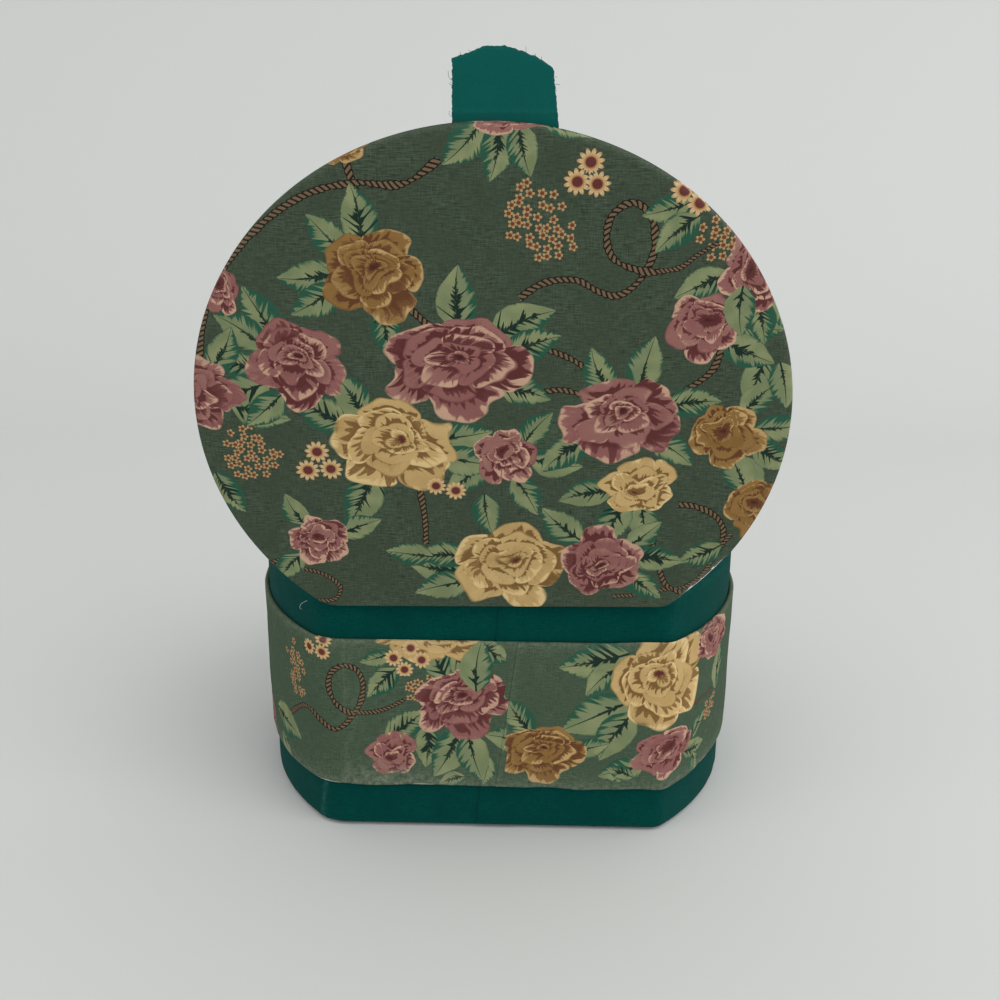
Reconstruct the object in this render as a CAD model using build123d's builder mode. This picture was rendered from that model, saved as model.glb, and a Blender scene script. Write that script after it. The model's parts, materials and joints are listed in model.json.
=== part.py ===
"""Cloth-covered card keepsake box with a cloth-hinged lid, standing open.

The plan is a circle with one flat side, which carries the hinge. Origin: centre
of the plan on the surface the box stands on. +Z up, +Y away from the hinge side.
Millimetres. The lid is modelled open, where its overhang rests against the wall.
"""
from build123d import *
from math import cos, radians, sin, sqrt
import os

os.makedirs("parts", exist_ok=True)

# Plan of the box, measured on the outer face of the cloth that covers the wall
plan_radius = 80.0
back_flat = 60.0  # centre of the plan to the flat hinge side
left_corner = 13.0
right_corner = 6.0  # the wall is bent harder at this end of the flat
box_height = 82.0  # surface to the top of the covered rim

# Sheet materials
cloth = 0.3
wall_board_thickness = 2.0
base_board_thickness = 2.0
lining_card_thickness = 0.8
bottom_card_thickness = 0.8
floor_card_thickness = 1.0
wrap_card_thickness = 1.0
lid_board_thickness = 2.5
lid_lining_card_thickness = 1.5

# Cloth turned round an edge and glued behind it
wall_hem = 12.0
wrap_hem = 8.0
lining_hem = 8.0
lid_hem = 12.0

# The printed band round the wall
wrap_bottom = 16.4
wrap_top = 67.3
wrap_edge_round = 0.7
wrap_glue = 0.05  # left round the card inside its cloth

# Linings and the sheet under the box
bottom_inset = 3.0
lining_below_rim = 2.0
floor_wadding_thickness = 2.2
floor_wadding_round = 1.4
floor_gap = 0.3  # floor lining to wall lining

# Lid
lid_radius = 80.3  # over its cloth
lid_back_overhang = 3.0  # past the flat side of the wall, at the left end of the lid's flat side
lid_side_shift = -0.9  # the lid sits this far to one side of the box
lid_turn = 0.9  # degrees that it is glued out of square with the box
lid_left_corner = 10.5
lid_right_corner = 6.0
lid_edge_round = 0.9
lip_gap = 1.0  # lid lining to wall lining with the lid down
lid_down_gap = 0.1  # between the two leaves of the hinge strip with the lid down
open_angle = 104.0  # from closed to where the lid's overhang rests on the wall
open_gap = 0.3  # between the overhang and the wall's cloth at that stop

# Hinge strip
hinge_end_gap = 3.75  # from its ends to where the flat side starts to bend
hinge_wall_leaf = 34.0
hinge_lid_leaf = 26.0

# Pull tab, flat against the lid's underside at the edge far from the hinge
tab_width = 25.6  # where it leaves the lid
tab_reach = 16.5  # past the lid's edge at the tab's tallest point
tab_tuck = 14.0  # glued under the lid
tab_side_shift = 2.2
tab_left_drop = 2.9  # its top corners lie lower than its crown
tab_right_drop = 4.5
tab_left_taper = 0.7  # and further in than its foot
tab_right_taper = 2.0
tab_crown_start = 8.2  # from its left edge to the crown
tab_shoulder = (7.0, 2.0)  # left of its right edge, and below the crown

# Places worked out from the sizes above, inwards from the wall's covered face
wall_outside = -cloth
wall_inside = wall_outside - wall_board_thickness
rim_hem_inside = wall_inside - cloth
leaf_inside = rim_hem_inside - cloth
lining_card_outside = leaf_inside - cloth
lining_card_inside = lining_card_outside - lining_card_thickness
room_side = lining_card_inside - cloth
floor_side = room_side - floor_gap
lip_side = room_side - lip_gap
wrap_inside = cloth
wrap_outside = wrap_inside + wrap_card_thickness

# Heights
bottom_card_z = cloth
turned_under_z = bottom_card_z + bottom_card_thickness
base_z = turned_under_z + cloth
base_top = base_z + base_board_thickness
rim_board_z = box_height - cloth
lining_top = box_height - lining_below_rim
floor_card_z = base_top + cloth
floor_wadding_z = floor_card_z + floor_card_thickness
floor_cloth_z = floor_wadding_z + floor_wadding_thickness
floor_top = floor_cloth_z + cloth

# Lid layers with the lid down
rim_cap_top = box_height + cloth
lid_leaf_z = rim_cap_top + lid_down_gap
lid_under_z = lid_leaf_z + cloth
lid_board_z = lid_under_z + cloth
lid_board_top = lid_board_z + lid_board_thickness
lid_top = lid_board_top + cloth
tab_inner_z = lid_under_z - 2 * cloth
lid_lining_top = tab_inner_z  # the lining card lies over the tab and the hinge strip
lid_card_top = lid_lining_top - cloth
lid_card_z = lid_card_top - lid_lining_card_thickness
lid_lining_z = lid_card_z - cloth

# The lid's flat side from its centre: its left end is about half a radius along it
lid_flat = back_flat + lid_back_overhang - lid_radius / 2 * sin(radians(lid_turn))

# Hinge line, along X, so far outside the wall that the overhang clears it at the stop
lean = radians(open_angle - 90)
hinge_z = rim_cap_top + lid_down_gap / 2
under_above_hinge = lid_under_z - hinge_z
hinge_out = (open_gap + lid_back_overhang * sin(lean) - under_above_hinge * cos(lean)) / (1 + sin(lean))
hinge_y = -back_flat - max(hinge_out, cloth)
hinge_line = Axis((0, hinge_y, hinge_z), (1, 0, 0))

# The hinge strip is as wide as the straight part of the flat side allows
straight_halves = [
    sqrt((plan_radius - corner) ** 2 - (back_flat - corner) ** 2) for corner in (left_corner, right_corner)
]
hinge_width = 2 * (min(straight_halves) - hinge_end_gap)


def plan_at(z, radius, flat, left, right, x=0.0, turn=0.0):
    """Circle with one flat side and two rounded corners, as a sketch at height z, turned about its centre."""
    with BuildSketch(Plane.XY.offset(z)) as plan:
        with Locations((x, 0)):
            Circle(radius)
        with Locations((x, -flat)):
            Rectangle(2 * radius, 2 * radius, align=(Align.CENTER, Align.MAX), mode=Mode.SUBTRACT)
        ends = plan.vertices().sort_by(Axis.Y)[0:2].sort_by(Axis.X)
        fillet(ends[0], left)
        ends = plan.vertices().sort_by(Axis.Y)[0:2].sort_by(Axis.X)
        fillet(ends[1], right)
    return plan.sketch.rotate(Axis((x, 0, z), (0, 0, 1)), turn)


def box_plan(outward, z):
    """Plan of the box, moved outwards from the wall's covered face by a distance."""
    return plan_at(z, plan_radius + outward, back_flat + outward, max(left_corner + outward, cloth),
                   max(right_corner + outward, cloth))


def lid_plan(outward, z):
    """Plan of the lid, moved outwards from its covered edge by a distance."""
    return plan_at(z, lid_radius + outward, lid_flat + outward, max(lid_left_corner + outward, cloth),
                   max(lid_right_corner + outward, cloth), lid_side_shift, lid_turn)


def ring(outer, inner, low, high):
    """Wall between two outward distances, from height low to high."""
    with BuildPart() as wall:
        add(box_plan(outer, low))
        extrude(amount=high - low)
        add(box_plan(inner, low))
        extrude(amount=high - low, mode=Mode.SUBTRACT)
    return wall.part


# Card sheet glued under the box, with its cloth
with BuildPart() as bottom_card:
    add(box_plan(-bottom_inset - cloth, bottom_card_z))
    extrude(amount=bottom_card_thickness)

with BuildPart() as bottom_cloth:
    add(box_plan(-bottom_inset, 0))
    extrude(amount=turned_under_z)
    add(box_plan(-bottom_inset - cloth, bottom_card_z))
    extrude(amount=bottom_card_thickness, mode=Mode.SUBTRACT)

# Greyboard base and the bent greyboard wall round it
with BuildPart() as base_board:
    add(box_plan(wall_inside, base_z))
    extrude(amount=base_board_thickness)

with BuildPart() as wall_board:
    add(ring(wall_outside, wall_inside, base_z, rim_board_z))

# Plain cloth over the outside of the wall, turned over the rim and under the base
with BuildPart() as wall_cloth:
    add(ring(0, wall_outside, turned_under_z, box_height))
    add(ring(0, rim_hem_inside, rim_board_z, box_height))
    add(ring(wall_inside, rim_hem_inside, box_height - wall_hem, box_height))
    add(ring(0, -wall_hem, turned_under_z, base_z))

# Bent card band round the wall, covered in printed cloth turned over both edges
with BuildPart() as wrap_card:
    add(ring(wrap_outside - wrap_glue, wrap_inside + wrap_glue, wrap_bottom + cloth + wrap_glue,
             wrap_top - cloth - wrap_glue))

with BuildPart() as wrap_cloth:
    add(box_plan(wrap_outside + cloth, wrap_bottom))
    extrude(amount=wrap_top - wrap_bottom)
    outer_edges = wrap_cloth.faces().filter_by(Axis.Z).edges()
    fillet(outer_edges, wrap_edge_round)
    add(ring(wrap_outside, 0, wrap_bottom + cloth, wrap_top - cloth), mode=Mode.SUBTRACT)
    add(box_plan(0, wrap_bottom))
    extrude(amount=wrap_top - wrap_bottom, mode=Mode.SUBTRACT)
    for low in (wrap_bottom + cloth, wrap_top - cloth - wrap_hem):
        add(ring(wrap_inside, 0, low, low + wrap_hem))

# Lining of the wall: bent card with cloth turned over its top and bottom edges
with BuildPart() as wall_lining_card:
    add(ring(lining_card_outside, lining_card_inside, base_top + cloth, lining_top - cloth))

with BuildPart() as wall_lining_cloth:
    add(ring(lining_card_inside, room_side, base_top, lining_top))
    for low in (base_top, lining_top - cloth):
        add(ring(leaf_inside, room_side, low, low + cloth))
    for low in (base_top, lining_top - lining_hem):
        add(ring(leaf_inside, lining_card_outside, low, low + lining_hem))

# Padded floor lining: card, wadding with a soft edge, and cloth turned under the card
with BuildPart() as floor_card:
    add(box_plan(floor_side - cloth, floor_card_z))
    extrude(amount=floor_card_thickness)

with BuildPart() as floor_wadding:
    add(box_plan(floor_side - cloth, floor_wadding_z))
    extrude(amount=floor_wadding_thickness)
    fillet(floor_wadding.faces().sort_by(Axis.Z)[-1].edges(), floor_wadding_round)

with BuildPart() as floor_cloth:
    add(box_plan(floor_side, base_top))
    extrude(amount=floor_top - base_top)
    fillet(floor_cloth.faces().sort_by(Axis.Z)[-1].edges(), floor_wadding_round + cloth)
    add(floor_card.part, mode=Mode.SUBTRACT)
    add(floor_wadding.part, mode=Mode.SUBTRACT)
    add(box_plan(floor_side - cloth - lining_hem, base_top))
    extrude(amount=cloth, mode=Mode.SUBTRACT)

# The hinge strip's wall leaf: down behind the wall lining and over the rim
with BuildPart() as hinge_wall_leaf_cloth:
    with BuildSketch(Plane.YZ.offset(-hinge_width / 2)) as profile:
        with BuildLine():
            Polyline(
                (-back_flat, box_height),
                (-back_flat, rim_cap_top),
                (-back_flat - leaf_inside, rim_cap_top),
                (-back_flat - leaf_inside, box_height - hinge_wall_leaf),
                (-back_flat - rim_hem_inside, box_height - hinge_wall_leaf),
                (-back_flat - rim_hem_inside, box_height),
                close=True,
            )
        make_face()
    extrude(amount=hinge_width)

# Lid board and its printed cloth, turned round the edge and under
with BuildPart() as lid_board:
    add(lid_plan(-cloth, lid_board_z))
    extrude(amount=lid_board_thickness)
    fillet(lid_board.faces().sort_by(Axis.Z)[-1].edges(), lid_edge_round - cloth)

with BuildPart() as lid_cloth:
    add(lid_plan(0, lid_under_z))
    extrude(amount=lid_top - lid_under_z)
    fillet(lid_cloth.faces().sort_by(Axis.Z)[-1].edges(), lid_edge_round)
    add(lid_board.part, mode=Mode.SUBTRACT)
    add(lid_plan(-lid_hem, lid_under_z))
    extrude(amount=cloth, mode=Mode.SUBTRACT)

# Lid lining: card covered in plain cloth, which drops inside the wall when the lid is down
with BuildPart() as lid_lining_card:
    add(box_plan(lip_side - cloth, lid_card_z))
    extrude(amount=lid_lining_card_thickness)

with BuildPart() as lid_lining_cloth:
    add(box_plan(lip_side, lid_lining_z))
    extrude(amount=lid_lining_top - lid_lining_z)
    add(lid_lining_card.part, mode=Mode.SUBTRACT)
    add(box_plan(lip_side - cloth - lining_hem, lid_card_top))
    extrude(amount=cloth, mode=Mode.SUBTRACT)

# The hinge strip's lid leaf, glued to the lid's underside as far as under the lining
with BuildPart() as hinge_lid_leaf_cloth:
    with BuildSketch(Plane.XY.offset(lid_leaf_z)):
        with Locations((0, hinge_y)):
            Rectangle(hinge_width, hinge_lid_leaf, align=(Align.CENTER, Align.MIN))
    extrude(amount=cloth)


def tab_layer(z):
    """One layer of the pull tab's cloth: sides that draw in and a low cut crown."""
    left = tab_side_shift - tab_width / 2
    right = tab_side_shift + tab_width / 2
    top = lid_radius + tab_reach
    left_end = (left + tab_left_taper, top - tab_left_drop)
    right_end = (right - tab_right_taper, top - tab_right_drop)
    crown = (left + tab_crown_start, top)
    shoulder = (right - tab_shoulder[0], top - tab_shoulder[1])
    with BuildPart() as layer:
        with BuildSketch(Plane.XY.offset(z)):
            with BuildLine():
                Polyline(crown, left_end, (left, lid_radius - tab_tuck), (right, lid_radius - tab_tuck), right_end)
                ThreePointArc(right_end, shoulder, crown)
            make_face()
        extrude(amount=cloth)
    return layer.part


with BuildPart() as tab_outer_cloth:
    add(tab_layer(lid_under_z - cloth))

with BuildPart() as tab_inner_cloth:
    add(tab_layer(tab_inner_z))

fixed_pieces = {
    "bottom_card": bottom_card,
    "bottom_cloth": bottom_cloth,
    "base_board": base_board,
    "wall_board": wall_board,
    "wall_cloth": wall_cloth,
    "wrap_card": wrap_card,
    "wrap_cloth": wrap_cloth,
    "wall_lining_card": wall_lining_card,
    "wall_lining_cloth": wall_lining_cloth,
    "floor_card": floor_card,
    "floor_wadding": floor_wadding,
    "floor_cloth": floor_cloth,
    "hinge_wall_leaf": hinge_wall_leaf_cloth,
}
lid_pieces = {
    "lid_board": lid_board,
    "lid_cloth": lid_cloth,
    "lid_lining_card": lid_lining_card,
    "lid_lining_cloth": lid_lining_cloth,
    "hinge_lid_leaf": hinge_lid_leaf_cloth,
    "tab_outer_cloth": tab_outer_cloth,
    "tab_inner_cloth": tab_inner_cloth,
}

for label, piece in fixed_pieces.items():
    piece.part.label = label
    export_step(piece.part, f"parts/{label}.step")

for label, piece in lid_pieces.items():
    opened = piece.part.rotate(hinge_line, open_angle)
    opened.label = label
    export_step(opened, f"parts/{label}.step")

print("hinge line", hinge_y, hinge_z, "floor of the inside", floor_top)
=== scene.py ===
"""Dresses the keepsake box: printed and plain cotton, thread, board and card, and its stage."""

import json
from math import atan2, ceil, cos, pi, radians, sin, sqrt, tan

import bpy
import numpy as np
from mathutils import Matrix, Vector


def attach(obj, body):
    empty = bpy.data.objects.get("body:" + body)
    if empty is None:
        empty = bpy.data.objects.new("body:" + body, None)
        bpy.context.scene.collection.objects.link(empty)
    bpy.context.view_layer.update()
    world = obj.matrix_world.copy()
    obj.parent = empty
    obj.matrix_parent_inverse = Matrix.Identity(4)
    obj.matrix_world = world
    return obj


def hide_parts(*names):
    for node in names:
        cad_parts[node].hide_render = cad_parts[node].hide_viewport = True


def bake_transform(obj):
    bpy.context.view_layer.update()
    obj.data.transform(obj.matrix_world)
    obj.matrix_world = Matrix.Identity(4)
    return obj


bl_info = {
    "name": "Keepsake box",
    "version": (1, 0, 0),
    "blender": (4, 5, 0),
    "location": "View3D > Sidebar > Keepsake box",
    "description": "Makes the cloth, the print, the boards and the stage of a keepsake box",
    "category": "Object",
}

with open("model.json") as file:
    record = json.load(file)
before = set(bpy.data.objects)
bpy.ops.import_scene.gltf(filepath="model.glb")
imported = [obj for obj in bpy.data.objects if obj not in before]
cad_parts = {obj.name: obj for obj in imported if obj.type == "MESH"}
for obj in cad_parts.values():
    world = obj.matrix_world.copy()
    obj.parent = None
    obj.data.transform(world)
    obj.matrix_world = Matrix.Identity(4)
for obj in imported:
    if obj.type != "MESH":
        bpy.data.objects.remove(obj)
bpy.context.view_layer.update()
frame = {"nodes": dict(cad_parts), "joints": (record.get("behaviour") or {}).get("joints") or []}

MM = 0.001
# The part's two plans in mm: radius, centre to the flat side, left and right corner, sideways shift, and the
# degrees that it is turned
BOX = (80.0, 60.0, 13.0, 6.0, 0.0, 0.0)
LID = (80.3, 63.0 - 80.3 / 2 * sin(radians(0.9)), 10.5, 6.0, -0.9, 0.9)
HINGE_Y, HINGE_Z = (1000 * x for x in frame["joints"][0]["pos_m"][1:])
OPEN = radians(104)  # the lid's pieces are drawn closed and turned to where it rests open
FLAT_LEFT = 47.75  # from the left end of the flat side, where cloth places start, to the box's middle
# Heights in mm, and how far the printed band stands out of the wall
RIM, LINING_TOP, LID_UNDER, LID_TOP = 82.0, 80.0, 82.7, 85.8
WRAP_LOW, WRAP_TOP, WRAP_OUT, HEM = 16.4, 67.3, 1.6, 8.0
# The wall lining's two faces, from the plan's outline, and its foot; the lid lining's edge and upper face
LINING_BACK, LINING_FRONT, LINING_LOW = -2.9, -4.3, 3.4
PANEL_EDGE, PANEL_TOP = -5.3, 82.1
MIDDLE_Y = 8.0  # the rows of a whole face close in on this place
WORN_AT, WORN_HALF = 321.2, 7.6  # in degrees round the lid, where its cloth has worn through


def linear(colour):
    """An sRGB colour, as a hex string, in linear red, green and blue."""
    parts = [int(colour[i : i + 2], 16) / 255 for i in (1, 3, 5)]
    return [x / 12.92 if x <= 0.04045 else ((x + 0.055) / 1.055) ** 2.4 for x in parts]


# Shapes in mm, made of rows of points that run round a plan


def ring(shape, out, q):
    """Points of a plan moved outwards by out. q runs 0 to 1 along the flat, to 2 round the right corner, to 3
    round the circle and to 4 round the left corner."""
    radius, flat, left, right, shift, turned = shape

    def corner(r, side):
        r = max(r + out, 0.3)
        y = r - flat - out
        x = side * sqrt((radius + out - r) ** 2 - y * y)
        return r, x, y, atan2(y, x) % (2 * pi)

    r_left, x_left, y_left, a_left = corner(left, -1)
    r_right, x_right, y_right, a_right = corner(right, 1)
    part, t = np.floor(q), q - np.floor(q)
    turn = np.select(
        [part == 1, part == 2, part == 3],
        [
            1.5 * pi + (a_right - 1.5 * pi) * t,
            a_right - 2 * pi + (a_left - a_right + 2 * pi) * t,
            a_left + (1.5 * pi - a_left) * t,
        ],
        1.5 * pi,
    )
    r = np.select([part == 1, part == 2], [r_right, radius + out], r_left)
    x = np.select([part == 0, part == 1, part == 2], [x_left + (x_right - x_left) * t, x_right, 0], x_left)
    y = np.select([part == 1, part == 2], [y_right, 0], y_left)
    x = np.where(part == 0, x, x + r * np.cos(turn))
    y = np.where(part == 0, -flat - out, y + r * np.sin(turn))
    c, s = cos(radians(turned)), sin(radians(turned))
    return np.stack([x * c - y * s + shift, x * s + y * c], 1)


def stations(shape, step, seam=None, worn_to=None):
    """Places round a plan no further apart than step, with two close together at a seam on the flat side at
    that x, and how far round each is, ending with the whole way round. They are three times as close from the
    right corner to worn_to, where the cloth has worn through."""
    dense = np.linspace(0, 4, 8001)
    points = ring(shape, 0, dense % 4)
    round_ = np.r_[0, np.cumsum(np.hypot(*np.diff(points, axis=0).T))]
    ends = round_[::2000]
    counts = [max(8, ceil((b - a) / step)) for a, b in zip(ends, ends[1:])]
    q = np.concatenate([k + np.arange(n) / n for k, n in enumerate(counts)])
    if worn_to:
        a, b = np.searchsorted(q, (2, worn_to))
        q = np.r_[q[:a], np.linspace(q[a], q[b], 3 * (b - a), endpoint=False), q[b:]]
    if seam is not None:
        at = (seam - points[0, 0]) / ends[1]
        near = np.argmin(abs(q - at))
        gap = 0.05 / ends[1]
        q = np.r_[q[:near], at - gap, at + gap, q[near + 1 :]]
    return q, np.r_[np.interp(q, dense, round_), round_[-1]]


def bent(corners, step):
    """A line through corners (a, b, radius), rounded there and cut no longer than step."""
    line = [np.array(corners[0][:2], float)]
    for before, here, after in zip(corners, corners[1:], corners[2:]):
        p, a, b = (np.array(c[:2], float) for c in (here, before, after))
        a, b = (a - p) / np.linalg.norm(a - p), (b - p) / np.linalg.norm(b - p)
        turn = pi - np.arccos(np.clip(a @ b, -1, 1))
        if here[2] == 0 or turn < 1e-6:
            line.append(p)
            continue
        reach = here[2] * tan(turn / 2)
        middle = p + (a + b) / np.linalg.norm(a + b) * here[2] / cos(turn / 2)
        start = p + a * reach - middle
        side = np.sign(start[1] * a[0] - start[0] * a[1])
        n = max(3, ceil(turn * here[2] / min(step, 0.35)))
        for k in range(n + 1):
            c, s = cos(side * turn * k / n), sin(side * turn * k / n)
            line.append(middle + (start[0] * c - start[1] * s, start[0] * s + start[1] * c))
    line.append(np.array(corners[-1][:2], float))
    cut = [line[0]]
    for a, b in zip(line, line[1:]):
        n = max(1, ceil(np.linalg.norm(b - a) / step - 1e-6))
        cut += [a + (b - a) * k / n for k in range(1, n + 1)]
    cut = np.array(cut)
    keep = np.r_[True, np.linalg.norm(np.diff(cut, axis=0), axis=1) > 1e-4]
    return cut[keep]


def along(line):
    """How far each point of a line is along it."""
    return np.r_[0, np.cumsum(np.linalg.norm(np.diff(line, axis=0), axis=1))]


def swept(shape, line, q):
    """Rows of points, one for each (out, z) of the line."""
    return np.array([np.c_[ring(shape, out, q), np.full(len(q), z)] for out, z in line])


def filled(row, middle, step):
    """Rows from one row in to the middle point, each the same outline made smaller."""
    reach = np.linalg.norm(row - middle, axis=1).max()
    shrink = np.linspace(1, 0, ceil(reach / step) + 1)[1:-1]
    return middle + (row - middle) * shrink[:, None, None]


def opened(points):
    """Points of the closed lid where they are with it open."""
    points = np.array(points, float)
    y, z = points[..., 1] - HINGE_Y, points[..., 2] - HINGE_Z
    points[..., 1] = HINGE_Y + y * cos(OPEN) - z * sin(OPEN)
    points[..., 2] = HINGE_Z + y * sin(OPEN) + z * cos(OPEN)
    return points


def waves(a, b, seed, shortest, longest, period=None):
    """Smooth unevenness of about one unit either way, over two lengths in mm. With a period, it repeats along
    the first."""
    rng = np.random.default_rng(seed)
    total = 0
    for _ in range(14):
        size = np.exp(rng.uniform(np.log(shortest), np.log(longest)))
        turn = rng.uniform(0, 2 * pi)
        across = cos(turn) / size
        if period:
            across = round(across * period) / period
        total = total + np.sin(2 * pi * (a * across + b * sin(turn) / size + rng.uniform()))
    return total / 3.5


def new_mesh(name, points, faces, uv=None):
    """An object at the origin with a mesh from points in mm, and a UV map in mm for each face's corners."""
    mesh = bpy.data.meshes.new(name)
    mesh.from_pydata((np.asarray(points) * MM).tolist(), [], faces)
    if uv is not None:
        layer = mesh.uv_layers.new(name="cloth")
        layer.uv.foreach_set("vector", np.asarray(uv, np.float32).ravel())
    piece = bpy.data.objects.new(name, mesh)
    bpy.context.scene.collection.objects.link(piece)
    return piece


def skin(name, rows, uv, middle=None, closed=True, holes=None):
    """A sheet over rows of points, (row, column, xyz), with uv for one more column where the rows are closed
    rings. middle is (point, uv, whether it comes before the first row). holes marks faces to leave out."""
    m, n = rows.shape[:2]
    j, i = (x.ravel() for x in np.mgrid[0 : m - 1, 0 : n if closed else n - 1])
    if holes is not None:
        j, i = j[~holes.ravel()], i[~holes.ravel()]
    right = (i + 1) % n
    faces = np.stack([j * n + i, j * n + right, (j + 1) * n + right, (j + 1) * n + i], 1).tolist()
    corners = np.stack([uv[j, i], uv[j, i + 1], uv[j + 1, i + 1], uv[j + 1, i]], 1).reshape(-1, 2)
    points = rows.reshape(-1, 3)
    if middle is not None:
        i = np.arange(n)
        right = (i + 1) % n
        row = 0 if middle[2] else m - 1
        tips = np.full(n, m * n)
        points = np.r_[points, [middle[0]]]
        tip = np.tile(middle[1], (n, 1))
        if middle[2]:
            faces += np.stack([tips, row * n + right, row * n + i], 1).tolist()
            more = np.stack([tip, uv[row, i + 1], uv[row, i]], 1)
        else:
            faces += np.stack([row * n + i, row * n + right, tips], 1).tolist()
            more = np.stack([uv[row, i], uv[row, i + 1], tip], 1)
        corners = np.r_[corners, more.reshape(-1, 2)]
    return new_mesh(name, points, faces, corners)


def only(piece):
    """Selects this piece alone."""
    bpy.ops.object.select_all(action="DESELECT")
    piece.select_set(True)
    bpy.context.view_layer.objects.active = piece


def finished(piece, body, look, nodes=(), thickness=None, centred=False):
    """Gives a piece its material and thickness, smooths it and sets it on its body for its CAD nodes."""
    piece.data.materials.append(bpy.data.materials[look])
    only(piece)
    if thickness:
        modifier = piece.modifiers.new("Thickness", "SOLIDIFY")
        modifier.thickness = thickness * MM
        modifier.offset = 0 if centred else -1
        bpy.ops.object.modifier_apply(modifier=modifier.name)
    bpy.ops.object.shade_smooth_by_angle(angle=radians(50))
    if body:
        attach(piece, body)
    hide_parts(*nodes)
    return piece


def tube(name, lines, radius):
    """Threads: one mesh of thin five-sided tubes along lines of points."""
    points, faces = [], []
    for line in lines:
        line = np.array(line, float)
        way = np.gradient(line, axis=0)
        way /= np.linalg.norm(way, axis=1)[:, None]
        side = np.cross(way, (0.31, 0.52, 0.79))
        side /= np.linalg.norm(side, axis=1)[:, None]
        top = np.cross(way, side)
        first, n = len(points), len(line)
        taper = np.interp(np.arange(n), [0, n - 2, n - 1], [1, 0.9, 0.3]) * radius
        for p, a, b, r in zip(line, side, top, taper):
            points += [p + r * (a * cos(t) + b * sin(t)) for t in np.arange(5) * 0.4 * pi]
        for k in range(n - 1):
            for c in range(5):
                d = (c + 1) % 5
                at = first + 5 * k
                faces.append((at + c, at + d, at + 5 + d, at + 5 + c))
        faces.append(tuple(first + c for c in (4, 3, 2, 1, 0)))
        faces.append(tuple(first + 5 * (n - 1) + c for c in range(5)))
    piece = new_mesh(name, points, faces)
    only(piece)
    bpy.ops.object.mode_set(mode="EDIT")
    bpy.ops.mesh.select_all(action="SELECT")
    bpy.ops.mesh.normals_make_consistent(inside=False)
    bpy.ops.object.mode_set(mode="OBJECT")
    return piece


def note(piece, name, values):
    """Writes one number for each point of a mesh."""
    layer = piece.data.attributes.new(name, "FLOAT", "POINT")
    values = np.r_[np.asarray(values, np.float32).ravel(), np.zeros(len(layer.data), np.float32)]
    layer.data.foreach_set("value", values[: len(layer.data)])


# The print: a dress cotton with bunches of roses, leaves, cord, daisies and blossom

PINK, CREAM, OCHRE = 1, 2, 3
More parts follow.
